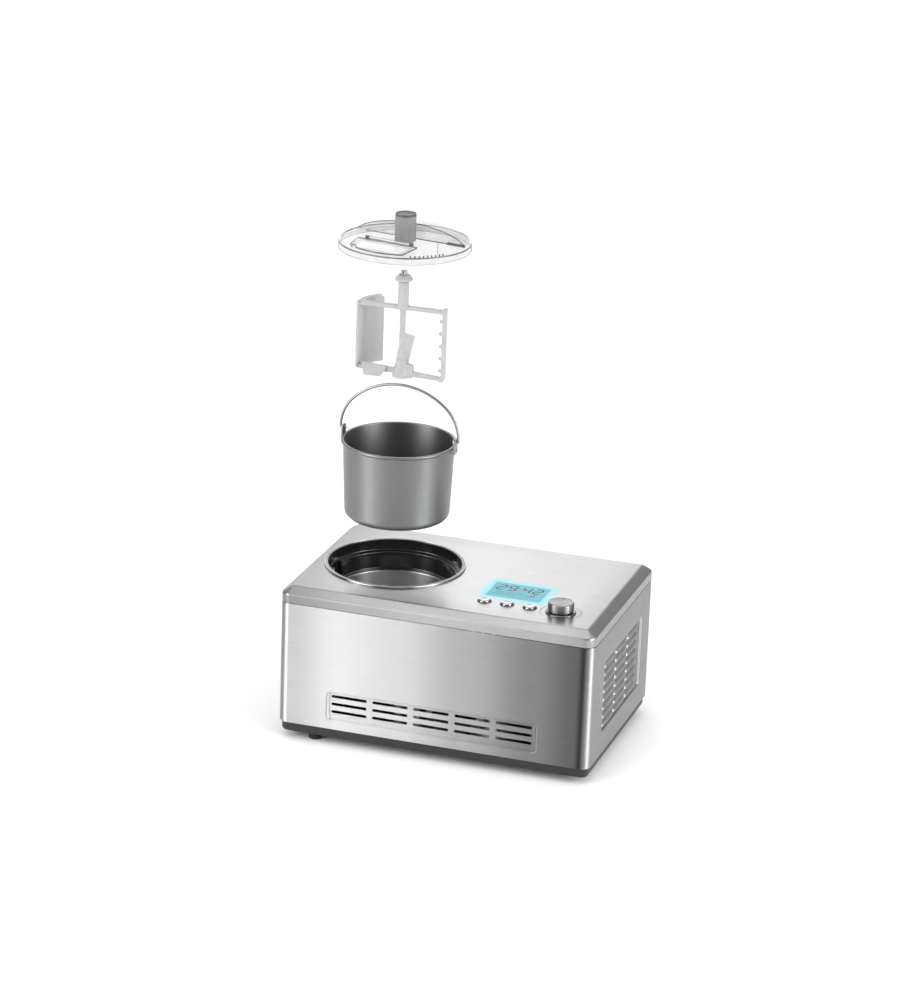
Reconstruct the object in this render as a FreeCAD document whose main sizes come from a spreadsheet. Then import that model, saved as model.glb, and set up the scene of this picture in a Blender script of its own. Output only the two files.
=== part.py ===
"""Compressor ice cream maker: casing, cooling well, drive and controls, with bucket, paddle and lid lifted.

Millimetres. The origin is on the ground under the centre of the casing, +Z is up and -Y is the front.
The bucket, paddle and lid are modelled lifted: each is at its seated place plus a lift from the sheet.
"""
import FreeCAD, Part
import Sketcher
import math
import os
import re

SIZES = {
    # casing
    "body_width": 425, "body_depth": 285, "body_corner": 14, "skin": 1.2,
    "ground_gap": 9, "band_top": 23, "seam": 189.4, "cover_top": 210,
    "bevel_run": 13.4, "bevel_drop": 8,
    "band_inset": 3, "tray_wall": 2.5, "tray_top": 33.4, "plate_level": 24,
    # feet and screws
    "foot_radius": 8.5, "foot_left": -165, "foot_right": 158, "foot_front": -125, "foot_front_right": -92,
    "foot_rear": 115, "screw_radius": 2, "screw_head": 4,
    # cooling well
    "well_x": -103.5, "well_bore": 88.5, "well_neck": 90.3, "ledge": 197, "lower_bore": 80.5,
    "lower_outer": 88.3, "vessel_rim": 172, "vessel_floor": 87, "vessel_bore": 77.2, "vessel_foot": 72.8,
    "vessel_outer": 79.2, "coil_tube": 3, "coil_pitch": 15, "foam_radius": 104, "foam_base": 83.2,
    "trim_radius": 93.6,
    # drive
    "gear_module": 2, "gear_teeth": 42, "pinion_teeth": 14, "gear_base": 68, "gear_width": 9,
    "gear_distance": 56, "motor_angle": -50, "motor_radius": 27, "shaft_radius": 5, "shaft_foot": 60,
    "hex_base": 98, "hex_top": 108, "hex_radius": 4.4, "case_base": 62, "case_top": 80, "case_wall": 2.5,
    # front and side grilles
    "grille_left": -145, "grille_right": 143, "grille_low": 34, "grille_high": 77, "grille_sink": 3,
    "slot_first": -138, "slot_pitch": 56.1, "slot_length": 48.5, "slot_width": 3.6, "slot_low": 45.4,
    "slot_rise": 10.7, "side_front": -88, "side_rear": 95, "side_low": 52, "side_high": 153,
    "louvre_first": -80, "louvre_pitch": 54, "louvre_length": 47, "louvre_low": 60, "louvre_rise": 11.7,
    # controls
    "window_x": 78, "window_y": -36, "window_width": 73, "window_depth": 51,
    "button_first": 47.5, "button_pitch": 30.5, "button_y": -84, "button_radius": 8,
    "knob_x": 150, "knob_y": -84, "knob_radius": 17, "knob_height": 12.5, "collar_radius": 20,
    # lifted pieces
    "bucket_lift": 190, "paddle_lift": 188, "lid_lift": 66,
    "bucket_base": 87.8, "bucket_height": 105, "bucket_foot": 69.3, "bucket_top": 73.2, "bucket_wall": 1.5,
    "bucket_rim": 76, "bucket_round": 10, "boss_radius": 8.5, "boss_height": 8, "boss_bore": 6,
    "bail_half": 81.2, "bail_rise": 68, "bail_elbow": 2.3, "bail_haunch": 56, "bail_wire": 1.8,
    "bail_pivot": 6.5, "ear_face": 78.5,
    "paddle_reach": 62, "bar_height": 91, "paddle_height": 143, "stem_radius": 3.8, "neck_radius": 7.1,
    "pin_radius": 4.7, "bush_radius": 11.6, "bush_height": 129, "bush_length": 8, "peg_pitch": 16.5,
    "lid_radius": 86, "lid_skirt": 9.5, "lid_wall": 1.6, "lid_plate": 2.4, "tower_radius": 13.7,
    "tower_bore": 12.3, "tower_height": 36, "dome_rise": 21, "dome_front": 14, "hinge_y": -22,
    "lid_swivel": -10,
    # cooling plant
    "compressor_x": 95, "compressor_y": 30, "compressor_radius": 48, "fan_x": 158, "fan_y": 0, "fan_z": 95,
    "fan_bore": 43, "fan_frame": 92, "condenser_x": 186, "gland_x": 150, "gland_z": 50, "gland_bore": 4,
}

doc = FreeCAD.newDocument("ice_cream_maker")
sheet = doc.addObject("Spreadsheet::Sheet", "Sizes")
for row, (alias, number) in enumerate(SIZES.items(), 1):
    sheet.set("A%d" % row, alias)
    sheet.set("B%d" % row, str(number))
    sheet.setAlias("B%d" % row, alias)
doc.recompute()

WORD = re.compile(r"[a-z][a-z0-9_]*")
X_AXIS = FreeCAD.Vector(1, 0, 0)
Y_AXIS = FreeCAD.Vector(0, 1, 0)
Z_AXIS = FreeCAD.Vector(0, 0, 1)
TURNS = {"x": FreeCAD.Rotation(Z_AXIS, X_AXIS),
         "y": FreeCAD.Rotation(Z_AXIS, Y_AXIS),
         "z": FreeCAD.Rotation()}
nodes = []
serial = {}


def full(text):
    """Write the sheet's name before each alias of an expression."""

    def named(word):
        return "Sizes." + word.group(0) if word.group(0) in SIZES else word.group(0)

    return WORD.sub(named, str(text))


def bind(item, **expressions):
    """Bind an object's properties to expressions of the sheet's sizes."""
    for name, text in expressions.items():
        item.setExpression(name, full(text))
    return item


def place(item, x=0, y=0, z=0, axis="z"):
    """Bind an object's position, and turn its own Z to an axis."""
    item.Placement = FreeCAD.Placement(FreeCAD.Vector(), TURNS[axis])
    for name, text in (("x", x), ("y", y), ("z", z)):
        item.setExpression("Placement.Base." + name, full(text))
    return item


def make(kind, name):
    """Add an object whose name has a running number."""
    serial[name] = serial.get(name, 0) + 1
    return doc.addObject(kind, "%s_%d" % (name, serial[name]))


def box(name, x, y, z, length, width, height):
    """A box from its lowest corner."""
    item = make("Part::Box", name)
    bind(item, Length=length, Width=width, Height=height)
    return place(item, x, y, z)


def rod(name, x, y, z, radius, height, axis="z"):
    """A round bar from the centre of one end."""
    item = make("Part::Cylinder", name)
    bind(item, Radius=radius, Height=height)
    return place(item, x, y, z, axis)


def ring(name, x, y, z, radius, tube, axis="z"):
    """A torus about an axis."""
    item = make("Part::Torus", name)
    bind(item, Radius1=radius, Radius2=tube)
    return place(item, x, y, z, axis)


def hexagon(name, radius, height, z):
    """A hexagonal bar on the well's axis."""
    item = make("Part::Prism", name)
    item.Polygon = 6
    bind(item, Circumradius=radius, Height=height)
    return place(item, "well_x", 0, z)


def cut(name, base, *tools):
    """A base with every tool taken away."""
    item = make("Part::Cut", name)
    item.Base = base
    item.Tool = tools[0] if len(tools) == 1 else fuse(name + "_tool", *tools)
    return item


def fuse(name, *parts):
    """Several shapes joined into one."""
    item = make("Part::MultiFuse", name)
    item.Shapes = list(parts)
    return item


def common(name, *parts):
    """The space that several shapes share."""
    item = make("Part::MultiCommon", name)
    item.Shapes = list(parts)
    return item


def group(name, *parts):
    """Several separate solids of one sub-part."""
    item = make("Part::Compound", name)
    item.Links = list(parts)
    return item


def node(label, item):
    """Name a finished sub-part."""
    item.Label = label
    nodes.append(item)
    return item


def outline(body, plane_role, points):
    """A closed sketch of straight edges, each corner bound to two expressions."""
    sketch = body.newObject("Sketcher::SketchObject", body.Name + "_outline")
    plane = next(feature for feature in body.Origin.OriginFeatures if feature.Role == plane_role)
    sketch.AttachmentSupport = (plane, [""])
    sketch.MapMode = "FlatFace"
    count = len(points)
    start = [FreeCAD.Rotation(Z_AXIS, 360 * i / count).multVec(X_AXIS * 10) for i in range(count)]
    for i in range(count):
        sketch.addGeometry(Part.LineSegment(start[i], start[(i + 1) % count]))
    for i in range(count):
        sketch.addConstraint(Sketcher.Constraint("Coincident", i, 2, (i + 1) % count, 1))
    for i, corner in enumerate(points):
        for kind, text, first in zip(("DistanceX", "DistanceY"), corner, start[i]):
            number = sketch.addConstraint(Sketcher.Constraint(kind, -1, 1, i, 1, first))
            sketch.setExpression("Constraints[%d]" % number, full(text))
    return sketch


def turned(name, points, x=0, y=0, z=0):
    """A piece turned about Z from an outline of radius and height."""
    body = make("PartDesign::Body", name)
    sketch = outline(body, "XZ_Plane", points)
    feature = body.newObject("PartDesign::Revolution", body.Name + "_turn")
    feature.Profile = sketch
    feature.ReferenceAxis = (sketch, ["V_Axis"])
    feature.Angle = 360
    return place(body, x, y, z)


def padded(name, points, z, height, x=0, y=0):
    """A plate of a straight-edged plan."""
    body = make("PartDesign::Body", name)
    feature = body.newObject("PartDesign::Pad", body.Name + "_pad")
    feature.Profile = outline(body, "XY_Plane", points)
    bind(feature, Length=height)
    return place(body, x, y, z)


def upright_edges(shape):
    """Names of a shape's vertical edges."""
    return ["Edge%d" % (i + 1) for i, edge in enumerate(shape.Edges) if edge.BoundBox.ZLength > 1]


def level_face(shape, height):
    """Name of the flat face at a height."""
    flat = [i for i, face in enumerate(shape.Faces) if face.BoundBox.ZLength < 0.01]
    return "Face%d" % (min(flat, key=lambda i: abs(shape.Faces[i].BoundBox.ZMin - height)) + 1)


def casing(name, inset, low, high, corner, bevel_size=None, rounded=None):
    """A block of the casing's plan, set in all round, with rounded uprights and a bevel or round."""
    half_x = "(body_width / 2 - (%s))" % inset
    half_y = "(body_depth / 2 - (%s))" % inset
    plan = [("-" + half_x, "-" + half_y), (half_x, "-" + half_y), (half_x, half_y), ("-" + half_x, half_y)]
    body = padded(name, plan, low, "(%s) - (%s)" % (high, low))
    doc.recompute()
    last = body.Tip
    fillet = body.newObject("PartDesign::Fillet", body.Name + "_uprights")
    fillet.Base = (last, upright_edges(last.Shape))
    bind(fillet, Radius=corner)
    doc.recompute()
    if bevel_size:
        bevel = body.newObject("PartDesign::Chamfer", body.Name + "_bevel")
        bevel.Base = (fillet, [level_face(fillet.Shape, 1000)])
        bevel.ChamferType = "Two distances"
        bind(bevel, Size=bevel_size[0], Size2=bevel_size[1])
    if rounded:
        bottom = body.newObject("PartDesign::Fillet", body.Name + "_round")
        bottom.Base = (fillet, [level_face(fillet.Shape, -1000)])
        bind(bottom, Radius=rounded)
    doc.recompute()
    return body


# ---- casing -------------------------------------------------------------------------------------

def make_top_cover():
    """Pressed steel cover with a bevelled edge and the holes for the well and the controls."""
    outer = casing("cover_outer", "0", "seam", "cover_top", "body_corner",
                   bevel_size=("bevel_drop", "bevel_run"))
    inner = casing("cover_inner", "skin", "seam - 1", "cover_top - skin", "body_corner - skin",
                   bevel_size=("bevel_drop - skin / 2", "bevel_run - skin"))
    holes = [rod("well_hole", "well_x", 0, "seam", "well_neck + 0.1", 40)]
    holes.append(box("window_hole", "window_x - window_width / 2", "window_y - window_depth / 2", "seam",
                     "window_width", "window_depth", 40))
    for i in range(3):
        holes.append(rod("button_hole", "button_first + %d * button_pitch" % i, "button_y", "seam",
                         "button_radius + 0.4", 40))
    holes.append(rod("knob_hole", "knob_x", "knob_y", "seam", 4.5, 40))
    node("top_cover", cut("cover", cut("cover_shell", outer, inner), *holes))


def make_body_wrap():
    """Steel sheet round the front and both sides, open at the rear, with openings for the grilles."""
    outer = casing("wrap_outer", "0", "band_top", "seam - 0.4", "body_corner")
    inner = casing("wrap_inner", "skin", "band_top - 5", "seam + 5", "body_corner - skin")
    rear = box("wrap_rear", "-body_width / 2 + body_corner", "body_depth / 2 - 5", "band_top - 5",
               "body_width - 2 * body_corner", 20, 200)
    front = box("wrap_front_gap", "grille_left", "-body_depth / 2 - 5", "grille_low",
                "grille_right - grille_left", 15, "grille_high - grille_low")
    side = box("wrap_side_gap", "body_width / 2 - 5", "side_front", "side_low", 15,
               "side_rear - side_front", "side_high - side_low")
    node("body_wrap", cut("wrap", outer, inner, rear, front, side))


def make_front_grille():
    """Sunk pan behind the front opening, with rows of long slots."""
    face = "-body_depth / 2"
    pan = box("front_pan", "grille_left", face, "grille_low", "grille_right - grille_left",
              "grille_sink + skin", "grille_high - grille_low")
    sink = box("front_sink", "grille_left + skin", "%s - 1" % face, "grille_low + skin",
               "grille_right - grille_left - 2 * skin", "grille_sink + 1",
               "grille_high - grille_low - 2 * skin")
    slots = [box("front_slot", "slot_first + %d * slot_pitch" % column, face,
                 "slot_low + %d * slot_rise" % line, "slot_length", 12, "slot_width")
             for column in range(5) for line in range(3)]
    node("front_grille", cut("front_grille", pan, sink, *slots))


def make_side_grille():
    """Sunk pan behind the side opening, with columns of slots under sloping hoods."""
    edge = "body_width / 2"
    pan = box("side_pan", "%s - grille_sink - skin" % edge, "side_front", "side_low", "grille_sink + skin",
              "side_rear - side_front", "side_high - side_low")
    sink = box("side_sink", "%s - grille_sink" % edge, "side_front + skin", "side_low + skin", 12,
               "side_rear - side_front - 2 * skin", "side_high - side_low - 2 * skin")
    slots = []
    hoods = []
    for column in range(3):
        for line in range(8):
            y = "louvre_first + %d * louvre_pitch" % column
            z = "louvre_low + %d * louvre_rise" % line
            slots.append(box("side_slot", "%s - 10" % edge, y, z, 12, "louvre_length", 3.4))
            hoods.append(box("side_hood", "%s - grille_sink - 0.2" % edge, y, "%s + 3.4" % z, 2.4,
                             "louvre_length", 1.2))
    node("side_grille", fuse("side_grille", cut("side_pan_cut", pan, sink, *slots), *hoods))


def make_rear_panel():
    """Flat steel rear panel with air slots and the hole of the cord gland."""
    flat = "body_width - 2 * body_corner"
    sheet_metal = box("rear_sheet", "-(%s) / 2" % flat, "body_depth / 2 - skin", "band_top", flat, "skin",
                      "seam - 0.4 - band_top")
    tools = [box("rear_slot", "-150 + %d * 14" % i, "body_depth / 2 - 5", 60, 5, 20, 80) for i in range(12)]
    tools.append(rod("gland_hole", "gland_x", "body_depth / 2 - 5", "gland_z", 8, 20, "y"))
    node("rear_panel", cut("rear", sheet_metal, *tools))
    heads = [rod("panel_screw", x, "body_depth / 2 - skin - 6", z, "screw_head - 1", 6, "y")
             for x in (-190, 0, 190) for z in (42, 180)]
    node("rear_panel_screws", group("panel_screws", *heads))
    gland = cut("gland", rod("gland_body", "gland_x", "body_depth / 2 - 14", "gland_z", 8, 14, "y"),
                rod("gland_bore", "gland_x", "body_depth / 2 - 16", "gland_z", "gland_bore", 20, "y"))
    node("cord_gland", gland)


def foot_places():
    """The four feet in plan."""
    return (("foot_left", "foot_front"), ("foot_right", "foot_front_right"),
            ("foot_left", "foot_rear"), ("foot_right", "foot_rear"))


def make_base():
    """Black base tray with its four rubber feet and their screws."""
    band = casing("tray_band", "band_inset", "ground_gap", "band_top", "body_corner - band_inset", rounded=5)
    spigot = casing("tray_spigot", "skin", "band_top", "tray_top", "body_corner - skin")
    hollow = casing("tray_hollow", "band_inset + tray_wall", "ground_gap + 3", "tray_top + 5", 8)
    pads = [box("tray_pad", x, "-body_depth / 2 + 12", "ground_gap - 1.5", 34, 8, 4) for x in (-30, 96)]
    holes = [rod("tray_foot_hole", x, y, 0, "screw_radius + 0.2", 30) for x, y in foot_places()]
    bosses = [rod("plate_boss", x, y, "ground_gap + 2", 5, "plate_level - ground_gap - 2")
              for x in (-130, 130) for y in (-80, 80)]
    shell = cut("tray_shell", fuse("tray_solid", band, spigot, *pads), hollow, *holes)
    node("base_tray", fuse("base_tray", shell, *bosses))
    feet = []
    screws = []
    for x, y in foot_places():
        profile = [(0, 0), ("foot_radius - 1.2", 0), ("foot_radius", 1.2),
                   ("foot_radius + 0.4", "ground_gap"), (0, "ground_gap")]
        hole = rod("foot_hole", x, y, 5, "screw_radius", 20)
        feet.append(cut("foot", turned("foot_blank", profile, x, y), hole))
        head = rod("foot_screw_head", x, y, "ground_gap + 3", "screw_head", 2.5)
        shank = rod("foot_screw_shank", x, y, 5, "screw_radius", "ground_gap - 1")
        screws.append(fuse("foot_screw", head, shank))
    node("rubber_feet", group("feet", *feet))
    node("foot_screws", group("foot_screws", *screws))


# ---- cooling well ---------------------------------------------------------------------------------

def make_well():
    """Moulded well collar, its trim ring, the cooled vessel, the pipe turns round it and the foam."""
    profile = [("well_bore", "cover_top + 1.6"), ("well_bore + 0.6", "cover_top + 2"),
               ("well_neck + 1.2", "cover_top + 2"), ("well_neck + 1.2", "cover_top"),
               ("well_neck", "cover_top"),
               ("well_neck", "ledge - 4"), ("lower_outer", "ledge - 5"), ("lower_outer", "vessel_rim"),
               ("vessel_bore + 0.6", "vessel_rim"), ("vessel_bore + 0.6", "vessel_rim + 1.4"),
               ("lower_bore - 0.3", "vessel_rim + 3"), ("lower_bore", "ledge - 0.2"),
               ("well_bore", "ledge + 0.4")]
    notches = [box("ear_notch", "well_x + %s" % start, -13, "vessel_rim + 2", 8, 26, 30)
               for start in ("lower_bore - 2", "(-lower_bore - 6)")]
    node("well_collar", cut("well_collar", turned("well_collar_blank", profile, "well_x"), *notches))
    trim = [("well_neck + 1.3", "cover_top"), ("trim_radius", "cover_top"),
            ("trim_radius", "cover_top + 1.2"), ("trim_radius - 0.8", "cover_top + 2.2"),
            ("well_neck + 1.3", "cover_top + 2.2")]
    node("well_trim_ring", turned("well_trim_ring", trim, "well_x"))
    vessel = [(8, "vessel_floor - 2"), ("vessel_outer", "vessel_floor - 2"), ("vessel_outer", "vessel_rim"),
              ("vessel_bore", "vessel_rim"), ("vessel_foot + 1", "vessel_floor + 8"),
              ("vessel_foot - 6", "vessel_floor"), (8, "vessel_floor")]
    node("cooling_vessel", turned("cooling_vessel", vessel, "well_x"))
    turns = [ring("coil_turn", "well_x", 0, "vessel_floor + 8 + %d * coil_pitch" % i,
                  "vessel_outer + coil_tube + 0.1", "coil_tube") for i in range(5)]
    node("evaporator_coil", group("evaporator_coil", *turns))
    foam = [(9, "foam_base"), ("foam_radius", "foam_base"), ("foam_radius", "vessel_rim - 4"),
            ("vessel_outer + 2 * coil_tube + 0.4", "vessel_rim - 4"),
            ("vessel_outer + 2 * coil_tube + 0.4", "vessel_floor - 2"), (9, "vessel_floor - 2")]
    node("vessel_insulation", turned("vessel_insulation", foam, "well_x"))


# ---- drive ----------------------------------------------------------------------------------------

def gear(name, teeth, radius_hole, x, y, first_angle):
    """A spur gear with involute flanks, thinned for running clearance, its first tooth at an angle."""
    module = sheet.get("gear_module")
    pitch = module * teeth / 2
    base = pitch * math.cos(math.radians(20))
    tip = pitch + 0.8 * module
    root = pitch - 1.15 * module
    half_tooth = math.pi / (2 * teeth) - 0.15 / pitch
    inner = max(base, root)

    def flank(radius):
        angle = math.acos(min(1, base / radius))
        start = math.acos(base / pitch)
        return half_tooth + (math.tan(start) - start) - (math.tan(angle) - angle)

    steps = [inner + (tip - inner) * i / 4 for i in range(5)]
    points = []
    for tooth in range(teeth):
        middle = first_angle + 2 * math.pi * tooth / teeth
        side = [(root, flank(inner))] + [(radius, flank(radius)) for radius in steps]
        for radius, angle in side:
            points.append((radius, middle - angle))
        for radius, angle in reversed(side):
            points.append((radius, middle + angle))
    wire = Part.makePolygon([FreeCAD.Vector(radius * math.cos(angle), radius * math.sin(angle), 0)
                             for radius, angle in points + points[:1]])
    blank = Part.Face(wire).extrude(FreeCAD.Vector(0, 0, sheet.get("gear_width")))
    item = make("Part::Feature", name)
    item.Shape = blank.cut(Part.makeCylinder(radius_hole, 40))
    item.Placement = FreeCAD.Placement(FreeCAD.Vector(x, y, sheet.get("gear_base")), FreeCAD.Rotation())
    return item


def make_drive():
    """Gear motor under the well: motor, pinion, gear, hexagonal drive shaft, bearing, seal and case."""
    angle = math.radians(sheet.get("motor_angle"))
    motor_x = sheet.get("well_x") + sheet.get("gear_distance") * math.cos(angle)
    motor_y = sheet.get("gear_distance") * math.sin(angle)
    motor_place = ("well_x + gear_distance * cos(motor_angle * 1 deg)",
                   "gear_distance * sin(motor_angle * 1 deg)")
    small = int(sheet.get("pinion_teeth"))
    node("drive_gear", gear("drive_gear", int(sheet.get("gear_teeth")), sheet.get("shaft_radius"),
                            sheet.get("well_x"), 0, angle))
    node("motor_pinion", gear("motor_pinion", small, 3, motor_x, motor_y, angle + math.pi + math.pi / small))
    tip = hexagon("drive_hex", "hex_radius", "hex_top - hex_base", "hex_base")
    shaft = rod("drive_bar", "well_x", 0, "shaft_foot", "shaft_radius", "hex_base - shaft_foot")
    node("drive_shaft", fuse("drive_shaft", shaft, tip))
    node("motor_shaft", rod("motor_shaft", *motor_place, "case_base - 6", 3,
                            "gear_base + gear_width - case_base + 6"))
    can = cut("motor_can", rod("motor_blank", *motor_place, 27, "motor_radius", "case_base - 27"),
              rod("motor_bore", *motor_place, "case_base - 8", 3.3, 20))
    node("drive_motor", can)
    corner = ("well_x - 52", "-72", "case_base")
    case = cut("case", box("case_block", *corner, 116, 124, "case_top - case_base"),
               box("case_room", "well_x - 52 + case_wall", "-72 + case_wall", "case_base + case_wall",
                   "116 - 2 * case_wall", "124 - 2 * case_wall", 40),
               rod("case_shaft_hole", "well_x", 0, "case_base - 4", "shaft_radius + 0.05", 10),
               rod("case_motor_hole", *motor_place, "case_base - 4", 3.3, 10))
    node("gear_case", case)
    node("gear_case_cover", cut("case_cover", box("case_lid", "well_x - 52", -72, "case_top", 116, 124, 3),
                                rod("case_lid_hole", "well_x", 0, "case_top - 4", 8, 20)))
    node("shaft_bearing", cut("bearing", rod("bearing_blank", "well_x", 0, "case_top - 1", 8, 5),
                              rod("bearing_bore", "well_x", 0, "case_top - 2", "shaft_radius + 0.05", 10)))
    node("shaft_seal", cut("seal", rod("seal_blank", "well_x", 0, "vessel_floor - 2", 8, 2),
                           rod("seal_bore", "well_x", 0, "vessel_floor - 4", "shaft_radius + 0.05", 10)))
    legs = [box("case_leg", "well_x + %d" % x, y, 25.6, 8, 8, "case_base - 25.6")
            for x in (-52, 56) for y in (-72, 44)]
    node("drive_bracket", group("drive_bracket", *legs))


# ---- cooling plant --------------------------------------------------------------------------------

def pipe(name, points, radius):
    """A pipe of straight runs with round joints."""
    pieces = []
    for first, second in zip(points, points[1:]):
        step = second - first
        pieces.append(Part.makeCylinder(radius, step.Length, first, step))
        pieces.append(Part.makeSphere(radius, second))
    whole = pieces[0].multiFuse(pieces[1:-1])
    item = make("Part::Feature", name)
    item.Shape = whole
    return item


def make_cooling_plant():
    """Hermetic compressor on grommets, condenser, fan, drier, pipes and the plate that carries them."""
    node("chassis_plate", box("chassis_plate", -190, -120, "plate_level", 380, 240, 1.6))
    shell = [(0, 38), ("compressor_radius - 12", 38), ("compressor_radius", 48), ("compressor_radius", 84),
             ("compressor_radius + 2", 84), ("compressor_radius + 2", 88), ("compressor_radius", 88),
             ("compressor_radius", 128), ("compressor_radius - 8", 143),
             ("compressor_radius - 26", 150), (0, 152)]
    node("compressor", turned("compressor", shell, "compressor_x", "compressor_y"))
    feet = [("compressor_x + 40", "compressor_y + 30"), ("compressor_x - 40", "compressor_y + 30"),
            ("compressor_x + 40", "compressor_y - 30"), ("compressor_x - 40", "compressor_y - 30")]
    node("compressor_bracket", box("bracket", "compressor_x - 48", "compressor_y - 38", 35.4, 96, 76, 2.6))
    node("compressor_grommets", group("grommets", *[rod("grommet", x, y, 25.6, 7, 9.8) for x, y in feet]))
    fins = [box("fin", "condenser_x", "-84 + %d * 9.6" % i, 42, 18, 0.8, 112) for i in range(18)]
    tubes = [rod("condenser_tube", "condenser_x + 9", -86, "52 + %d * 15" % i, 3, 168, "y") for i in range(7)]
    node("condenser", fuse("condenser", *fins, *tubes))
    half = "fan_frame / 2"
    frame = cut("fan_frame_cut", box("fan_block", "fan_x", "fan_y - %s" % half, "fan_z - %s" % half, 22,
                                     "fan_frame", "fan_frame"),
                rod("fan_hole", "fan_x - 5", "fan_y", "fan_z", "fan_bore", 40, "x"))
    arm = box("fan_arm", "fan_x + 19", "fan_y - %s" % half, "fan_z - 4", 3, "fan_frame", 8)
    node("fan_frame", fuse("fan_frame", frame, arm))
    node("fan_motor", rod("fan_motor", "fan_x + 13", "fan_y", "fan_z", 13, 6, "x"))
    blades = []
    for i in range(7):
        blade = Part.makeBox(1.6, 25, 15, FreeCAD.Vector(-0.8, 15, -7.5))
        blade.rotate(FreeCAD.Vector(), Y_AXIS, 40)
        blade.rotate(FreeCAD.Vector(), X_AXIS, 360 * i / 7)
        blades.append(blade)
    rotor = Part.makeCylinder(17, 10, FreeCAD.Vector(-5, 0, 0), X_AXIS).multiFuse(blades)
    item = make("Part::Feature", "fan_rotor")
    item.Shape = rotor
    node("fan_rotor", item)
    place(item, "fan_x + 7", "fan_y", "fan_z")
    node("filter_drier", rod("filter_drier", 20, 118, 60, 8, 70))
    runs = pipe("pipes", [FreeCAD.Vector(*point) for point in
                          ((95, 78, 120), (95, 118, 120), (60, 118, 150), (20, 118, 150), (20, 118, 130))], 3)
    suction = pipe("suction", [FreeCAD.Vector(*point) for point in
                               ((20, 118, 60), (20, 118, 45), (-12, 118, 45), (-12, 118, 130),
                                (-12, 60, 130))], 2)
    node("refrigerant_pipes", group("refrigerant_pipes", runs, suction))


# ---- controls -------------------------------------------------------------------------------------

def make_controls():
    """Display, three push buttons with rings and switches, the timer knob with its encoder, the boards."""
    left = "window_x - window_width / 2"
    front = "window_y - window_depth / 2"
    node("display_window", box("window", left, front, "cover_top - 1.4", "window_width", "window_depth", 1.6))
    node("display_module", box("display", "%s - 2" % left, "%s - 2" % front, "cover_top - 9.4",
                               "window_width + 4", "window_depth + 4", 8))
    rings = []
    switches = []
    for i, label in enumerate(("left_button", "middle_button", "right_button")):
        x = "button_first + %d * button_pitch" % i
        cap = [(0, "cover_top - 2"), ("button_radius - 2", "cover_top - 2"),
               ("button_radius", "cover_top - 1"),
               ("button_radius", "cover_top + 1.6"), ("button_radius - 1.2", "cover_top + 2.6"),
               ("button_radius - 4", "cover_top + 3.1"), (0, "cover_top + 3.3")]
        node(label, fuse(label, turned("button_cap", cap, x, "button_y"),
                         rod("button_stem", x, "button_y", "cover_top - 8", 1.8, 7)))
        blank = rod("button_ring_blank", x, "button_y", "cover_top", "button_radius + 1.6", 1)
        bore = rod("button_ring_bore", x, "button_y", "cover_top - 1", "button_radius + 0.4", 4)
        rings.append(cut("button_ring", blank, bore))
        switches.append(box("switch", "%s - 3" % x, "button_y - 3", "cover_top - 14.4", 6, 6, 5))
    node("button_rings", group("button_rings", *rings))
    node("button_switches", group("button_switches", *switches))
    node("control_board", box("control_board", 32, -118, "cover_top - 16", 140, 90, 1.6))
    posts = [rod("board_post", x, y, "cover_top - 14.4", 2.5, "14.4 - skin")
             for x in (36, 168) for y in (-114, -33)]
    posts += [rod("board_post", x, y, "plate_level + 1.6", 3, "38.4 - plate_level") for x in (-15, 35)
              for y in (-95, -15)]
    node("board_posts", group("board_posts", *posts))
    skirt = [(0, "cover_top + 2.4"), ("knob_radius", "cover_top + 2.4"),
             ("knob_radius", "cover_top + knob_height + 1"),
             ("knob_radius - 1", "cover_top + knob_height + 2"),
             (0, "cover_top + knob_height + 2")]
    node("control_knob", turned("control_knob", skirt, "knob_x", "knob_y"))
    node("encoder_shaft", rod("encoder_shaft", "knob_x", "knob_y", "cover_top - 8", 3, 10.4))
    collar = [("4.6", "cover_top"), ("collar_radius", "cover_top"), ("collar_radius", "cover_top + 1"),
              ("collar_radius - 1", "cover_top + 1.9"), ("4.6", "cover_top + 1.9")]
    node("knob_collar", turned("knob_collar", collar, "knob_x", "knob_y"))
    encoder = cut("encoder", fuse("encoder_solid", box("encoder_block", "knob_x - 7", "knob_y - 7",
                                                       "cover_top - 14.4", 14, 14, 8),
                                  rod("encoder_neck", "knob_x", "knob_y", "cover_top - 7", 4.4, 8)),
                  rod("encoder_bore", "knob_x", "knob_y", "cover_top - 8.2", 3.05, 20))
    node("rotary_encoder", encoder)
    node("power_board", box("power_board", -20, -100, 40, 60, 90, 1.6))
    parts = [box("board_block", -14, -94, 41.6, 26, 30, 22), rod("board_can", 26, -84, 41.6, 7, 20),
             rod("board_can", 26, -62, 41.6, 7, 20), box("board_relay", -12, -50, 41.6, 18, 28, 14)]
    node("board_components", group("board_components", *parts))


# ---- bucket and bail ------------------------------------------------------------------------------

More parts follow.
